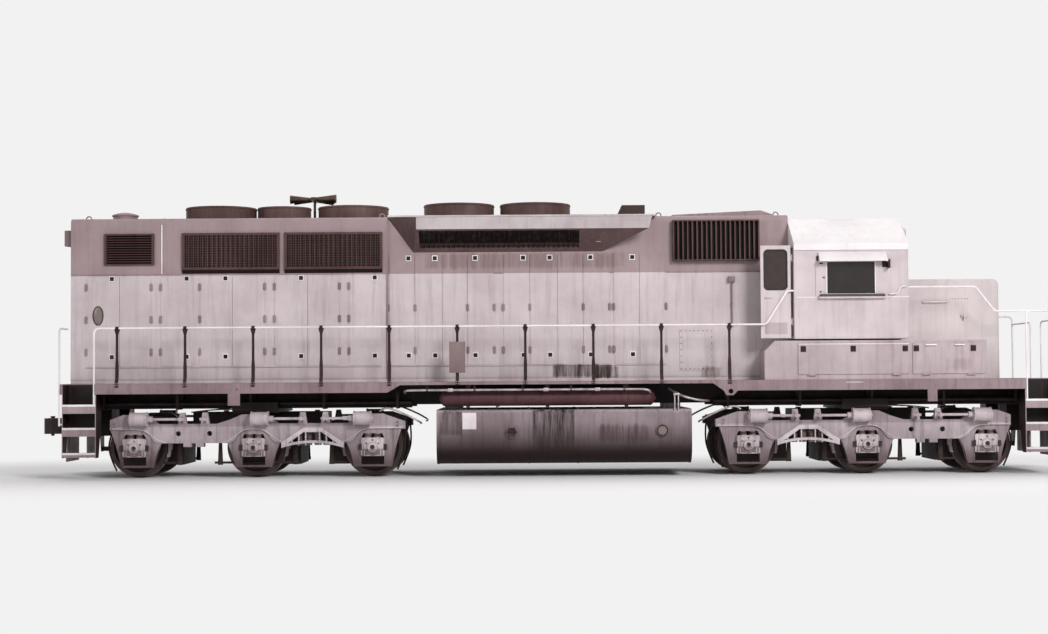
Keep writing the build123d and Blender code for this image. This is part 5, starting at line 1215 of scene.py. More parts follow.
fans = [
    # middle along X, radius, height of the ring's top
    (-6.084, 0.61, 4.805), (-4.943, 0.457, 4.805), (-3.694, 0.61, 4.805), (-1.784, 0.61, 4.835),
    (-0.407, 0.61, 4.835),
]
fanGuard = {
    "wire": 0.004, "wireGap": 0.058, "spokes": 18, "hub": 0.12, "rim": 0.013, "footHeight": 0.018,
    "footReach": 0.04, "bolts": 12, "boltRadius": 0.011, "ring": 0.022, "ringHeight": 0.25,
    # the rings of wire: how far the outermost lies from the edge, how much stays open, depth
    "edge": 0.03, "open": 0.2, "below": 0.006,
}


def makeFanGuards():
    made, spots = [], []
    wire, gap, rim, foot = [fanGuard[key] for key in ("wire", "wireGap", "rim", "footHeight")]
    for fanX, radius, top in fans:
        base = top - fanGuard["ringHeight"]
        startRing("fanGuard", (fanX, 0, top - 2 * rim), radius + fanGuard["ring"], rim, 56)
        for number in range(int((radius - fanGuard["open"]) / gap)):
            bpy.ops.mesh.primitive_torus_add(
                major_radius=radius - fanGuard["edge"] - number * gap, minor_radius=wire,
                major_segments=48, minor_segments=5, location=(fanX, 0, top - fanGuard["below"]),
            )
        inner = circleSpots(fanGuard["spokes"], fanGuard["hub"])
        outer = circleSpots(fanGuard["spokes"], radius + 0.01)
        spokes = [((a, b, -0.012), (c, d, -0.012), wire, 6) for (a, b), (c, d) in zip(inner, outer)]
        addShapes(shifted(spokes, fanX, 0, top))
        # the foot flange round the ring
        reach = radius + fanGuard["ring"] + fanGuard["footReach"]
        addShape((fanX, 0, base), (fanX, 0, base + foot), reach, 56)
        boreFaces(
            lambda middle, normal: abs(normal.z) > 0.9 and abs(middle.z - base) < 0.03
            and (middle.xy - Vector((fanX, 0))).length < 0.02, fanGuard["footReach"] + 0.012,
        )
        made.append(closePiece(0.002, 1))
        spots += [(fanX + a, b, base + foot) for a, b in circleSpots(fanGuard["bolts"], reach - 0.018)]
    settle(joinPieces("fanGuards", made), "fanEnamel")
    bolts = repeatAt(boltHead(fanGuard["boltRadius"]), "fanBolts", spots, (0, 0, 1))
    settle(bolts, "boltSteel")


makeFanGuards()

liftingEyes = {
    "spots": [(-8.35, -0.55, 4.555), (-3.12, -0.7, 4.555), (1.78, -0.6, 4.555), (3.86, -0.6, 4.555)],
    "radius": 0.045, "wire": 0.012,
}


def makeLiftingEyes():
    startRing("liftingEye", (0, 0, 0.03), liftingEyes["radius"], liftingEyes["wire"], 24, acrossY)
    addShape((-0.06, -0.022, -0.002), (0.06, 0.022, 0.01))
    piece = repeatAt(closePiece(0.002, 1), "liftingEyes", liftingEyes["spots"])
    settleBothSides(piece, "upperEnamel")


makeLiftingEyes()

headlights = {
    # face of the rim, way out, height
    "rows": ((6.159, 1, 4.195), (-8.723, -1, 3.655)), "apart": 0.12,
    "lens": ((-0.004, 0, 0), (0.002, 0, 0), 0.08, 32),
    "steps": (0.0045, 0.003, 0.0015), "stepWidth": 0.0192,
    "rim": 0.09, "wire": 0.007, "screws": (0.5, 2.6, 4.7),
}


def makeHeadlights():
    lenses, rims = [], []
    rim, wire = headlights["rim"], headlights["wire"]
    screws = [(rim * math.cos(turn), rim * math.sin(turn)) for turn in headlights["screws"]]
    for face, way, height in headlights["rows"]:
        for y in (-headlights["apart"], headlights["apart"]):
            place = (face, y, height, way)
            startPiece("lens", *shifted([headlights["lens"]], *place))
            for step in headlights["steps"]:
                # the face is inset and pulled out, less each time, into a shallow dome
                insetFaces(
                    lambda middle, normal: normal.x * way > 0.9 and abs(middle.x - face) < 0.03
                    and (middle - Vector((middle.x, y, height))).length < 0.005, headlights["stepWidth"],
                )
                bpy.ops.transform.translate(value=(way * step, 0, 0))
            lenses.append(closePiece())
            startRing("lampRim", (face + way * 0.01, y, height), rim - 0.004, wire, 40, acrossX)
            addShapes(shifted([((0.004, a, b), (0.018, a, b), wire, 8) for a, b in screws], *place))
            rims.append(closePiece())
    settle(joinPieces("headlightLenses", lenses), "lampLens")
    settle(joinPieces("headlightRims", rims), "boltSteel")


makeHeadlights()

boards = {
    # inner and outer edge, depth at each, face, way out, bottom, top
    "rows": (
        (0.455, 1.025, 0.1425, 0.065, 6.001, 1, 4.06, 4.26),
        (0.585, 0.875, 0.0375, 0.1225, -8.565, -1, 4.105, 4.325),
    ),
    "thick": 0.01, "sunk": 0.003,
    # name: how far it stands out, how far past the board's edge, width of the frame, finish, slot
    "layers": {
        "boardPanes": (0.004, 0.0, None, "boardGlass", "window_glass"),
        "boardFrames": (0.009, 0.012, 0.02, "gasketRubber", "grille_black"),
    },
}


def makeBoards():
    # blank panes in thin frames, lying on the slanting faces of the number boards
    for name, (out, grow, width, finish, slot) in boards["layers"].items():
        made = []
        for inner, outer, innerDepth, outerDepth, face, way, bottom, top in boards["rows"]:
            corners = ((0, -outer - grow, bottom - grow), (boards["thick"], -inner + grow, top + grow))
            startPiece(name, corners)
            if width:
                pierce(*corners, width)
            data = bpy.context.object.data
            for corner in bmesh.from_edit_mesh(data).verts:
                share = (-corner.co.y - inner) / (outer - inner)
                depth = innerDepth + share * (outerDepth - innerDepth)
                lift = out if corner.co.x > boards["thick"] / 2 else -boards["sunk"]
                corner.co.x = face + way * (depth + lift)
            bmesh.update_edit_mesh(data)
            made.append(reflectOver(closePiece(0.001, 1)))
        settle(joinPieces(name, made), finish)


makeBoards()

hornRims = {
    # the rolled lip of each bell: across, length, way that it looks
    "rows": ((-0.21, 0.38, 1), (0.0, 0.33, 1), (0.21, 0.28, 1), (-0.11, 0.4, -1), (0.11, 0.35, -1)),
    "x": -4.395, "height": 4.955, "radius": 0.072, "wire": 0.006,
}


def makeHornRims():
    made = []
    for across, length, way in hornRims["rows"]:
        place = (hornRims["x"] + way * (0.03 + length - 0.006), across, hornRims["height"])
        startRing("hornRim", place, hornRims["radius"], hornRims["wire"], 32, acrossX)
        made.append(closePiece())
    settle(joinPieces("hornRims", made), "headBronze")


makeHornRims()
print("roof fitted out")


# Fuel tank: weld seams, end flanges, filler, gauge, sight pipes and the reservoirs' bands

tank = {
    "halfWidth": 1.5, "bottom": 0.234, "top": 1.165, "topRadius": 0.1, "bottomRadius": 0.32,
    "proud": 0.008, "seams": ((-0.544, 0.01), (0.305, 0.01), (-2.12, 0.018), (2.24, 0.018)),
}


def makeTankSeams():
    # each seam is a slice a little larger than the tank, rounded like it
    made = []
    out, wide = tank["proud"], tank["halfWidth"] + tank["proud"]
    levels = ((tank["bottom"] - out, tank["bottomRadius"]), (tank["top"] + out, tank["topRadius"]))
    for x, half in tank["seams"]:
        startPiece("tankSeam", ((x - half, -wide, levels[0][0]), (x + half, wide, levels[1][0])))
        for level, radius in levels:
            def alongCorner(edge):
                ends = [corner.co for corner in edge.verts]
                atSide = all(abs(abs(end.y) - wide) < 1e-4 for end in ends) and ends[0].y * ends[1].y > 0
                return atSide and all(abs(end.z - level) < 1e-4 for end in ends)

            pickParts("EDGE", alongCorner)
            bpy.ops.mesh.bevel(offset=radius + out, segments=12)
        made.append(closePiece())
    settle(joinPieces("tankSeams", made), "tankEnamel")


makeTankSeams()

tankFittings = {
    "face": -1.534,
    # the filler's cap and the grip on it, from the middle of the cap
    "filler": (-0.843, 0.785), "cap": ((0, 0.002, 0), (0, -0.02, 0), 0.078, 32),
    "grip": ((-0.055, -0.026, 0), (0.055, -0.026, 0), 0.009, 10), "screws": (6, 0.094),
    "gauge": (1.748, 0.8), "rim": ((0, 0.001, 0), (0, -0.014, 0), 0.098, 32),
    "glass": ((0, 0.001, 0), (0, -0.004, 0), 0.079, 32),
}


def makeTankFittings():
    (x, z), y = tankFittings["filler"], tankFittings["face"]
    startPiece("fillerCap", *shifted([tankFittings["cap"]], x, y, z))
    insetFaces(facesViewer, 0.014, -0.008)
    screws = [((a, 0.001, b), (a, -0.008, b), 0.009, 6) for a, b in circleSpots(*tankFittings["screws"], 0)]
    addShapes(shifted([tankFittings["grip"], *screws], x, y, z))
    filler = closePiece(0.002)
    x, z = tankFittings["gauge"]
    startPiece("gaugeRim", *shifted([tankFittings["rim"]], x, y, z))
    boreFaces(facesEitherSide, 0.02)
    settleBothSides(joinPieces("tankFittings", [filler, closePiece(0.002)]), "castIron")
    startPiece("gaugeGlass", *shifted([tankFittings["glass"]], x, y, z))
    insetFaces(facesViewer, 0.01, 0.003)
    settleBothSides(closePiece(), "sightGlass")


makeTankFittings()

bands = {
    "y": -1.2, "z": 1.37, "radius": 0.1435, "half": 0.032, "x": (-1.6, -0.22, 1.15),
    # along X: the weld beads with half their width, the end plugs and the drain cock
    "beads": [(-2.0, 0.006), (1.56, 0.006)], "plugs": (-2.102, 1.64), "cock": -1.1,
}


def bandShapes():
    # round the air reservoirs: bands, weld beads at the ends, band lugs, end plugs and a drain cock
    y, z, radius, half = bands["y"], bands["z"], bands["radius"], bands["half"]
    slices = [(x, half) for x in bands["x"]] + bands["beads"]
    shapes = [((x - reach, y, z), (x + reach, y, z), radius, 48) for x, reach in slices]
    lug = [((-half, -0.03, -0.03), (half, 0.03, 0.004))]
    shapes += shapesAt(lug, [(x, y, z - radius) for x in bands["x"]])
    shapes += [((x, y, z - 0.02), (x + 0.02, y, z - 0.02), 0.03, 12) for x in bands["plugs"]]
    return shapes + shifted([((0, 0, -0.05), (0, 0, 0.01), 0.016, 10)], bands["cock"], y, z - radius)


makePlainPieces({
    # name: finish, slot, rounding, on both sides, blocks and bars
    "sightPipes": ("galvanizedPipe", "rail_paint", (0.002,), True, [
        # the glass gauge in its guard: two upright pipes, cocks above and below
        ((1.967, -1.478, 1.04), (1.967, -1.478, 1.42), 0.012),
        ((2.03, -1.478, 1.04), (2.03, -1.478, 1.42), 0.012),
        ((1.945, -1.498, 1.022), (2.052, -1.448, 1.058)),
        ((1.945, -1.498, 1.402), (2.052, -1.448, 1.438)),
        ((2.0, -1.448, 1.03), (2.0, -1.378, 0.98), 0.018),
        ((2.0, -1.458, 1.42), (2.0, -1.178, 1.42), 0.018),
        ((1.93, -1.488, 1.035), (1.905, -1.488, 0.965), 0.008, 8),
    ]),
    "reservoirBands": ("vesselEnamel", "tank_paint", (0.0015, 1), True, bandShapes()),
})
print("tank fitted out")


# Trucks: coil springs, journal cap bolts, cylinder flanges, rigging, sand pipes and air pipes

axleSpots = [truckMiddle + offset for offset in axleOffsets]
springs = {
    # middle along the truck, columns round it, radius of the coil and its wire, bottom, top, turns
    "box": (axleOffsets, (-0.08, 0.08), 0.058, 0.012, 0.695, 0.767, 2),
    "plank": ((-1.035,), (-0.232, -0.082, 0.082, 0.232), 0.063, 0.013, 0.586, 0.786, 5),
}
springSide = -1.105


def makeCoil(name, radius, wire, bottom, top, turns):
    # a circle of wire carried round and up by the screw, with both ends closed
    clearSelection()
    bpy.ops.mesh.primitive_circle_add(vertices=8, radius=wire, location=(radius, 0, 0), rotation=acrossY)
    openPiece(name)
    bpy.ops.object.mode_set(mode="OBJECT")
    applyModifier(
        bpy.context.object, "winding", "SCREW", axis="Z", steps=16, render_steps=16, iterations=turns,
        screw_offset=(top - bottom - 2 * wire) / turns,
    )
    bpy.ops.object.mode_set(mode="EDIT")
    bpy.ops.mesh.select_all(action="SELECT")
    bpy.ops.mesh.fill_holes(sides=0)
    bpy.ops.mesh.select_all(action="SELECT")
    bpy.ops.transform.translate(value=(0, 0, bottom + wire))
    return closePiece()


def makeSprings(name):
    made = []
    for part, (middles, columns, *sizes) in springs.items():
        spots = [(truckMiddle + middle + x, springSide, 0) for middle in middles for x in columns]
        made.append(repeatAt(makeCoil(part + "Coil", *sizes), part + "Coils", spots))
    return joinPieces(name, made)


caps = {"flangeFace": -1.208, "face": -1.243, "rim": 0.083, "boltCircle": 0.122, "bolts": 6, "bolt": 0.014}


def makeCapBolts(name):
    spots = [
        (x + a, caps["flangeFace"], axleHeight + b)
        for x in axleSpots for a, b in circleSpots(caps["bolts"], caps["boltCircle"])
    ]
    return repeatAt(boltHead(caps["bolt"]), name, spots)


jaws = {
    # from the axle forward and up: wear plates beside the box, the lip over it and the sill under it
    "plates": [
        ((0.178, -1.196, -0.15), (0.205, -1.16, -0.055)), ((0.178, -1.196, 0.055), (0.205, -1.16, 0.15)),
        ((0.13, -1.199, -0.156), (0.15, -1.188, 0.156)), ((0.1, -1.198, 0.135), (0.128, -1.18, 0.157)),
    ],
    "sill": [((-0.12, -1.199, -0.157), (0.12, -1.186, -0.137))],
    "liner": [((0.188, -1.1945, -0.048), (0.248, -1.176, 0.048))], "plug": 0.041,
}


def makeCapRims(name):
    # the raised lip round each cap and the wear plates beside the box
    made = []
    for x in axleSpots:
        startRing("capRim", (x, caps["face"], axleHeight), caps["rim"], 0.008, 32, acrossY)
        addShapes(shapesAt(jaws["plates"], [(x, 0, axleHeight, -1), (x, 0, axleHeight)]))
        addShapes(shifted(jaws["sill"], x, 0, axleHeight))
        made.append(closePiece(0.003))
    return joinPieces(name, made)


def makeJawLiners(name):
    # dark manganese wear plates beside each box and the oily plug in the middle of its cap
    made = []
    face = caps["face"]
    for x in axleSpots:
        startPiece(name, *shapesAt(jaws["liner"], [(x, 0, axleHeight, -1), (x, 0, axleHeight)]))
        addShape((x, face + 0.013, axleHeight), (x, face - 0.001, axleHeight), jaws["plug"], 24)
        insetFaces(lambda middle, normal: normal.y < -0.9 and middle.y < face, 0.012, -0.004)
        made.append(closePiece(0.002, 1))
    return joinPieces(name, made)


cylinders = {
    # middle along the truck, way that the rod leaves; side and height
    "rows": ((1.965, -1), (-0.127, -1), (-1.903, 1)), "place": (-1.299, 1.035),
    "flanges": [((-0.151, 0, 0), (-0.133, 0, 0), 0.13, 32), ((0.133, 0, 0), (0.151, 0, 0), 0.13, 32)],
    # the domed cover of the pressure head, away from the rod
    "cover": [((-0.147, 0, 0), (-0.175, 0, 0), 0.0833, 24), ((-0.167, 0, 0), (-0.197, 0, 0), 0.024, 12)],
    "screws": (8, 0.112), "screwEnds": (0.145, 0.161),
}


def makeCylinderRims(name):
    made = []
    near, far = cylinders["screwEnds"]
    screws = [
        ((side * near, a, b), (side * far, a, b), 0.009, 6)
        for a, b in circleSpots(*cylinders["screws"]) for side in (-1, 1)
    ]
    for offset, way in cylinders["rows"]:
        shapes = cylinders["flanges"] + shifted(cylinders["cover"], way=way) + screws
        shapes = shifted(shapes, truckMiddle + offset, *cylinders["place"])
        made.append(makePiece("cylinderRim", shapes, 0.002, 1))
    return joinPieces(name, made)


rigging = {
    # the low brake rods' ends along the truck, the levers' places, their side and height
    "rods": ((-0.75, 0.72), (1.3, 1.62), (-1.62, -1.3)), "levers": (-0.7, 0.62, 1.33, -1.33),
    "place": (-0.9, 0.265), "rodRadius": 0.02,
    "lever": [((-0.045, -0.015, -0.04), (0.045, 0.015, 0.455))],
    "eyes": [((0, -0.03, 0), (0, 0.03, 0), 0.038), ((0, -0.03, 0.425), (0, 0.03, 0.425), 0.03)],
}


def makeRigging(name):
    place = rigging["place"]
    rods = [((start, 0, 0), (end, 0, 0), rigging["rodRadius"]) for start, end in rigging["rods"]]
    startPiece(name, *shifted(rods, truckMiddle, *place))
    for x in [truckMiddle + offset for offset in rigging["levers"]]:
        # a forged lever that narrows from its eye to its foot
        addShapes(shifted(rigging["lever"], x, *place))
        pickFaces(lambda middle, normal: normal.z > 0.9 and abs(middle.x - x) < 0.02)
        bpy.ops.transform.resize(value=(0.55, 1, 1))
        addShapes(shifted(rigging["eyes"], x, *place))
    return closePiece(0.004)


truckPipes = {
    # name: radius, points (along the truck, side, height)
    "sandPipes": (0.016, [
        [(2.46, -0.8, 1.02), (2.48, -0.8, 0.9), (2.6, -0.79, 0.66), (2.6, -0.765, 0.4),
         (2.47, -0.745, 0.12)],
        [(-2.6, -0.8, 1.02), (-2.6, -0.8, 0.9), (-2.62, -0.79, 0.66), (-2.6, -0.765, 0.4),
         (-2.47, -0.745, 0.12)],
    ]),
    "airPipes": (0.017, [
        [(-2.2, -1.2, 1.15), (-2.26, -1.215, 1.2), (-2.36, -1.225, 1.205), (-2.52, -1.225, 1.15),
         (-2.72, -1.225, 1.06), (-2.88, -1.2, 0.97), (-2.92, -1.12, 0.94), (-2.9, -0.9, 0.93)],
    ]),
    "branchPipes": (0.012, [
        [(1.1, -1.06, 1.15), (0.8, -1.09, 1.19), (0.4, -1.09, 1.2), (-0.1, -1.09, 1.19),
         (-0.25, -1.18, 1.17)],
    ]),
}


def makeTruckPipes(name):
    radius, routes = truckPipes[name.removesuffix("Front")]
    return joinPieces(name, [
        bendPipe(name, [(truckMiddle + x, y, z) for x, y, z in route], radius) for route in routes
    ])


archRibs = {
    # the ledge that follows the lower edge of the beam over each axle box: distances from the
    # axle and heights of its points, towards the next axle and towards the end of the frame
    "radius": 0.011, "face": -1.182,
    "falling": ((0.56, 0.628), (0.452, 0.64), (0.3, 0.745), (0.162, 0.862)),
    "level": {1: ((0.395, 0.872), (0.162, 0.864)), -1: ((0.54, 0.872), (0.162, 0.864))},
}


def makeArchRibs(name):
    made = []
    for axle in axleOffsets:
        points = []
        for side in (-1, 1):
            half = archRibs["level"][side] if axle * side > 0 else archRibs["falling"]
            stretch = [(truckMiddle + axle + side * x, archRibs["face"], z) for x, z in half]
            points += stretch if side < 0 else stretch[::-1]
        made.append(bendPipe(name, points, archRibs["radius"], 2))
    return joinPieces(name, made)


hangerOffsets = (1.242, -0.851, -1.246, 0.848)
beamBolts = {
    "face": -1.18, "radius": 0.016,
    "spots": [(x, z) for x in (2.42, -2.5) for z in (0.9, 0.96)] + [(x, 0.98) for x in hangerOffsets],
}


def makeBeamBolts(name):
    spots = [(truckMiddle + x, beamBolts["face"], z) for x, z in beamBolts["spots"]]
    return repeatAt(boltHead(beamBolts["radius"]), name, spots)


hanger = [
    # a collar on each lever hanger, its strap, and the forked end of the push rod
    ((0, -1.18, 1.095), (0, -1.03, 1.095), 0.03), ((-0.05, -1.175, 0.975), (0.05, -1.166, 1.0)),
    ((0, -1.355, 1.035), (0, -1.275, 1.035), 0.036), ((-0.06, -1.345, 1.012), (0.06, -1.328, 1.058)),
]


def makeHangerPins(name):
    return makePiece(name, shapesAt(hanger, [(truckMiddle + x,) for x in hangerOffsets]), 0.003)


forBothTrucks([
    ("coilSprings", "springSteel", "truck_paint", makeSprings),
    ("capBolts", "boltSteel", "truck_paint", makeCapBolts),
    ("capRims", "cylinderEnamel", "truck_paint", makeCapRims),
    ("jawLiners", "castIron", "dark_iron", makeJawLiners),
    ("cylinderRims", "cylinderEnamel", "truck_paint", makeCylinderRims),
    ("brakeRigging", "castIron", "dark_iron", makeRigging),
    ("sandPipes", "castIron", "truck_paint", makeTruckPipes),
    ("airPipes", "galvanizedPipe", "truck_paint", makeTruckPipes),
    ("branchPipes", "castIron", "truck_paint", makeTruckPipes),
    ("archRibs", "truckEnamel", "truck_paint", makeArchRibs),
    ("beamBolts", "boltSteel", "truck_paint", makeBeamBolts),
    ("hangerPins", "cylinderEnamel", "truck_paint", makeHangerPins),
])
print("trucks fitted out")


# Ends: cut levers, cocks and sockets on the pilots, bolts, couplers and the nose door

platformEnd = 8.6
cutLever = {"radius": 0.014, "height": 1.18, "out": 0.05, "brackets": (-1.19, -0.56), "bracketWidth": 0.025}


def makeCutLevers():
    x, z = platformEnd + cutLever["out"], cutLever["height"]
    pipe = bendPipe("cutLevers", [
        (x, -1.33, z - 0.3), (x, -1.33, z - 0.1), (x, -1.31, z), (x, -1.2, z), (x, -0.5, z),
        (x, -0.14, z), (x + 0.03, -0.08, z - 0.02), (x + 0.12, -0.07, z - 0.06),
        (x + 0.22, -0.07, z - 0.12),
    ], cutLever["radius"])
    brackets = makePiece("leverBrackets", [
        ((platformEnd - 0.001, y, z - 0.03), (x + 0.024, y + cutLever["bracketWidth"], z + 0.03))
        for y in cutLever["brackets"]
    ], 0.003)
    settle(bothEnds(joinPieces("cutLevers", [pipe, brackets])), "castIron")


makeCutLevers()

cocks = [
    # side, height, radius, reach of the angle cocks on the pilot
    (-0.48, 0.86, 0.022, 0.11), (0.48, 0.86, 0.022, 0.11), (-0.74, 0.98, 0.014, 0.08),
    (-0.82, 0.98, 0.014, 0.08), (0.74, 0.98, 0.014, 0.08), (0.82, 0.98, 0.014, 0.08),
]


def makeCocks():
    shapes = [((-0.002, -0.48, 0.86), (0.006, -0.48, 0.86), 0.04)]
    for y, z, radius, reach in cocks:
        # flange, body, hose connection, then the stem and the handle on it
        stem = 0.6 * reach
        shapes += shifted([
            ((-0.002, 0, 0), (0.01, 0, 0), 2.0 * radius), ((0, 0, 0), (reach, 0, 0), radius),
            ((reach, 0, radius), (reach, 0, -3.2 * radius), 1.2 * radius),
            ((stem - 0.008, -0.008, 0), (stem + 0.008, 0.008, 2.6 * radius)),
            ((stem - 0.01, -0.01, 2.3 * radius), (1.6 * reach, 0.01, 2.9 * radius)),
        ], 0, y, z)
    piece = makePiece("angleCocks", shifted(shapes, platformEnd), 0.002, 1)
    settle(bothEnds(piece), "castIron")


makeCocks()

socket = {
    # from the pilot's face outward: the blank receptacle, its hinge pin and its sprung lid
    "body": ((-0.001, -0.11, 1.33), (0.06, 0.11, 1.47)),
    "lid": [((0.03, -0.12, 1.48), (0.03, 0.12, 1.48), 0.014), ((0.05, 0, 1.4), (0.074, 0, 1.4), 0.06, 24)],
}


def makeSockets():
    startPiece("jumperSockets", *shifted([socket["body"]], platformEnd))
    insetFaces(lambda middle, normal: normal.x > 0.9, 0.016, -0.006)
    addShapes(shifted(socket["lid"], platformEnd))
    settle(bothEnds(closePiece(0.004)), "castIron")


makeSockets()

endDoors = {
    # all from the face outward along X; the hinge's knuckle, strap and post from its height
    "noseDoor": {
        "finish": "noseEnamel", "face": 7.75, "way": 1, "inset": (0.055, -0.008),
        "leaf": ((-0.001, -0.27, 1.76), (0.02, 0.27, 3.05)), "hinges": (1.95, 2.4, 2.85),
        "hinge": [
            ((0.024, 0.27, -0.06), (0.024, 0.27, 0.06), 0.014),
            ((0.018, 0.19, -0.04), (0.026, 0.268, 0.04)), ((-0.001, 0.272, -0.04), (0.012, 0.33, 0.04)),
        ],
        # plate, spindle and handle
        "latch": [
            ((0.018, -0.25, 2.38), (0.03, -0.21, 2.5)), ((0.028, -0.23, 2.44), (0.06, -0.23, 2.44), 0.012),
            ((0.05, -0.242, 2.32), (0.064, -0.218, 2.46)),
        ],
    },
    "rearDoor": {
        "finish": "hoodEnamel", "face": -8.565, "way": -1, "inset": (0.05, -0.006),
        "leaf": ((-0.001, -0.33, 1.76), (0.016, 0.33, 3.3)), "hinges": (1.98, 2.52, 3.08),
        "hinge": [
            ((0.02, -0.33, -0.065), (0.02, -0.33, 0.065), 0.013),
            ((0.012, -0.328, -0.045), (0.024, -0.255, 0.045)),
            ((-0.001, -0.385, -0.045), (0.01, -0.332, 0.045)),
        ],
        "latch": [
            ((0.012, 0.23, 2.44), (0.028, 0.3, 2.56)), ((0.024, 0.265, 2.5), (0.052, 0.265, 2.5), 0.012),
        ],
    },
}


def makeEndDoors():
    for name, door in endDoors.items():
        face, way = door["face"], door["way"]
        startPiece(name, *shifted([door["leaf"]], face, 0, 0, way))
        insetFaces(lambda middle, normal: way * normal.x > 0.9, *door["inset"])
        addShapes(shapesAt(door["hinge"], [(face, 0, z, way) for z in door["hinges"]]))
        addShapes(shifted(door["latch"], face, 0, 0, way))
        settle(closePiece(0.004), door["finish"])


makeEndDoors()

boltRows = {
    # name: radius, direction, at both ends, spots
    "sillBolts": (0.013, (0, -1, 0), False, [
        (x + side * 0.018, -1.576, z) for x in stanchionColumns for side in (-1, 1) for z in (1.625, 1.66)
    ] + [(x, -1.562, 1.545) for x in (-5.665, -5.56, 6.34, 6.44)]),
    "noseBolts": (0.007, (0, -1, 0), False, [(x, -0.914, 3.055) for x in spread(6.911, 7.174, 6)]),
    "pilotBolts": (0.014, (1, 0, 0), True, [
        (platformEnd, y, z) for y in (-1.08, -0.9, -0.4) for z in (0.4, 0.75, 1.1)
    ] + [(platformEnd, y, 1.54) for y in spread(-1.45, -0.25, 8)]),
}


def makeBoltRows():
    for name, (radius, outward, twice, spots) in boltRows.items():
        piece = reflectOver(repeatAt(boltHead(radius), name, spots, outward))
        settle(bothEnds(piece) if twice else piece, "boltSteel")


makeBoltRows()

knuckle = {
    # height of the coupler; from it, the pin and its head, the ribs cast on the head, the lock lifter
    "height": 0.901,
    "pin": [
        ((9.15, -0.075, -0.18), (9.15, -0.075, 0.16), 0.03),
        ((9.15, -0.075, 0.15), (9.15, -0.075, 0.176), 0.045, 8),
    ],
    "rib": [((8.86, -0.205, -0.012), (9.14, -0.15, 0.012)), ((8.86, 0.13, -0.012), (9.06, 0.176, 0.012))],
    "ribs": (-0.05, 0.05), "lifter": [((8.9, 0, 0.13), (8.9, 0, 0.175), 0.028)],
}


def makeKnucklePins():
    shapes = knuckle["pin"] + shapesAt(knuckle["rib"], [(0, 0, level) for level in knuckle["ribs"]])
    shapes = shifted(shapes + knuckle["lifter"], 0, 0, knuckle["height"])
    settle(bothEnds(makePiece("knucklePins", shapes, 0.005)), "castIron")


makeKnucklePins()

trainPipes = {
    # the air and cable pipes that run under the deck over each truck: side, height, radius
    "rows": ((-0.86, 1.29, 0.034), (-0.7, 1.235, 0.03), (-0.56, 1.29, 0.04)),
    "ranges": ((-8.25, -2.6), (2.7, 8.25)), "hangers": 5, "margin": 0.25,
    "hanger": [
        ((-0.025, -0.9, 1.19), (0.025, -0.515, 1.205)), ((-0.025, -0.905, 1.19), (0.025, -0.895, 1.48)),
        ((-0.025, -0.52, 1.19), (0.025, -0.51, 1.48)),
    ],
}


def makeTrainPipes():
    made = []
    margin = trainPipes["margin"]
    for start, end in trainPipes["ranges"]:
        shapes = [((start, y, z), (end, y, z), radius) for y, z, radius in trainPipes["rows"]]
        columns = spread(start + margin, end - margin, trainPipes["hangers"])
        shapes += shapesAt(trainPipes["hanger"], [(x,) for x in columns])
        made.append(makePiece("trainPipes", shapes, 0.003, 1))
    settleBothSides(joinPieces("trainPipes", made), "castIron")


makeTrainPipes()
print("ends fitted out")


# Camera, floor and light

view = {
    "focalPixels": 1788.0, "frameWidth": 1048.0, "sensor": 36.0, "place": (-0.62, -32.3, 1.725),
    "pitchDeg": 1.93, "rollDeg": -0.36, "farthest": 500.0,
}


def makeCamera():
    data = bpy.data.cameras.new("sideView")
    data.sensor_width = view["sensor"]
    data.lens = view["sensor"] * view["focalPixels"] / view["frameWidth"]
    data.clip_end = view["farthest"]
    camera = bpy.data.objects.new("sideView", data)
    turn = Matrix.Rotation(math.radians(90 + view["pitchDeg"]), 4, "X")
    turn @= Matrix.Rotation(math.radians(view["rollDeg"]), 4, "Z")
    camera.matrix_world = Matrix.Translation(view["place"]) @ turn
    bpy.context.scene.collection.objects.link(camera)
    bpy.context.scene.camera = camera


makeCamera()

floorFinish = {
    "pale": "#efedee", "paler": "#f6f5f5", "backdrop": "#f3f2f2", "roughness": 0.9,
    "shadowReach": (0.4, 6.0), "halfLength": 9.3, "halfWidth": 1.8,
}


def seenDirectly(tree):
    # 1 for what the camera, a mirror or a pane of glass shows
    path = addNode(tree, "LightPath").outputs
    total = path["Is Camera Ray"]
    for ray in ("Is Glossy Ray", "Is Transmission Ray"):
        total = addNode(tree, "Math", {"operation": "ADD", "use_clamp": True}, {0: total, 1: path[ray]})
    return total


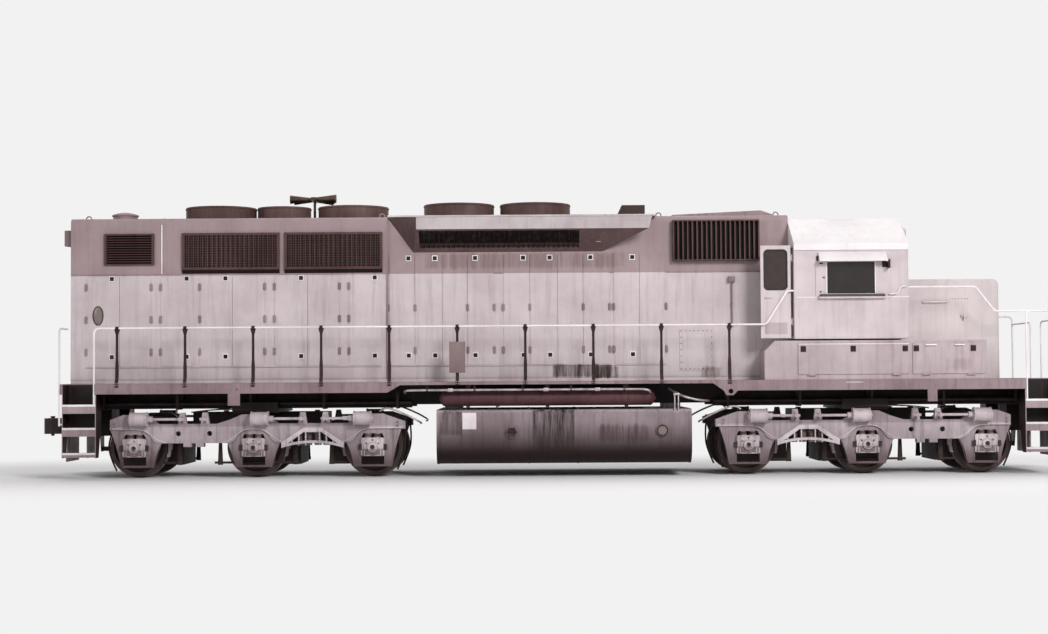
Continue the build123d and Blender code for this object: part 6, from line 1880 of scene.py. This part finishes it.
def makeFloor():
    # a pale painted floor with a faint stipple; away from the shadow it fades into the backdrop
    clearSelection()
    bpy.ops.mesh.primitive_plane_add(size=400, location=(0, 0, 0))
    floor = bpy.context.object
    floor.name = "floor"
    tree, coords = startMaterial("paleFloor")
    shader = tree.nodes["Principled BSDF"]
    stipple = addNode(tree, "TexNoise", {"Scale": 40.0, "Detail": 4.0}, {"Vector": coords})
    shade = addNode(
        tree, "Mix", {"data_type": "RGBA", 6: floorFinish["pale"], 7: floorFinish["paler"]}, {0: stipple}
    )
    tree.links.new(liveOutput(shade), shader.inputs["Base Color"])
    shader.inputs["Roughness"].default_value = floorFinish["roughness"]
    axes = addNode(tree, "SeparateXYZ", links={0: coords}).outputs
    reach = []
    for axis, half in (("X", floorFinish["halfLength"]), ("Y", floorFinish["halfWidth"])):
        size = addNode(tree, "Math", {"operation": "ABSOLUTE"}, {0: axes[axis]})
        past = addNode(tree, "Math", {"operation": "SUBTRACT", 1: half}, {0: size})
        held = addNode(tree, "Math", {"operation": "MAXIMUM", 1: 0.0}, {0: past})
        reach.append(addNode(tree, "Math", {"operation": "POWER", 1: 2.0}, {0: held}))
    total = addNode(tree, "Math", {"operation": "ADD"}, dict(enumerate(reach)))
    away = addNode(tree, "Math", {"operation": "SQRT"}, {0: total})
    edge = {"interpolation_type": "SMOOTHSTEP", **fromTo(*floorFinish["shadowReach"])}
    fade = addNode(tree, "MapRange", edge, {"Value": away})
    share = addNode(tree, "Math", {"operation": "MULTIPLY"}, {0: fade, 1: seenDirectly(tree)})
    white = addNode(tree, "Emission", {"Color": floorFinish["backdrop"], "Strength": 1.0})
    mix = addNode(tree, "MixShader", links={0: share, 1: shader, 2: white})
    tree.links.new(mix.outputs[0], tree.nodes["Material Output"].inputs["Surface"])
    floor.data.materials.append(materials["paleFloor"])


makeFloor()

skyStrength = 0.36
lamps = {
    # place, size, power
    "key": ((15, -30, 17), 9, 8200),
    "fill": ((-22, -24, 12), 14, 1700),
    "top": ((0, 8, 26), 18, 2300),
}
aim = Vector((0, 0, 2))


def makeLight():
    world = bpy.data.worlds.new("softSky")
    bpy.context.scene.world = world
    world.use_nodes = True
    tree = world.node_tree
    sky = tree.nodes["Background"]
    sky.inputs["Color"].default_value = (1, 1, 1, 1)
    sky.inputs["Strength"].default_value = skyStrength
    backdrop = addNode(tree, "Background", {"Color": floorFinish["backdrop"], "Strength": 1.0})
    mix = addNode(tree, "MixShader", links={0: seenDirectly(tree), 1: sky, 2: backdrop})
    tree.links.new(mix.outputs[0], tree.nodes["World Output"].inputs["Surface"])
    for name, (place, size, power) in lamps.items():
        data = bpy.data.lights.new(name, "AREA")
        data.size = size
        data.energy = power
        lamp = bpy.data.objects.new(name, data)
        lamp.location = place
        lamp.rotation_mode = "QUATERNION"
        lamp.rotation_quaternion = (aim - Vector(place)).to_track_quat("-Z", "Y")
        bpy.context.scene.collection.objects.link(lamp)


makeLight()
bpy.context.scene.view_settings.view_transform = "Standard"
print("camera, floor and light set")
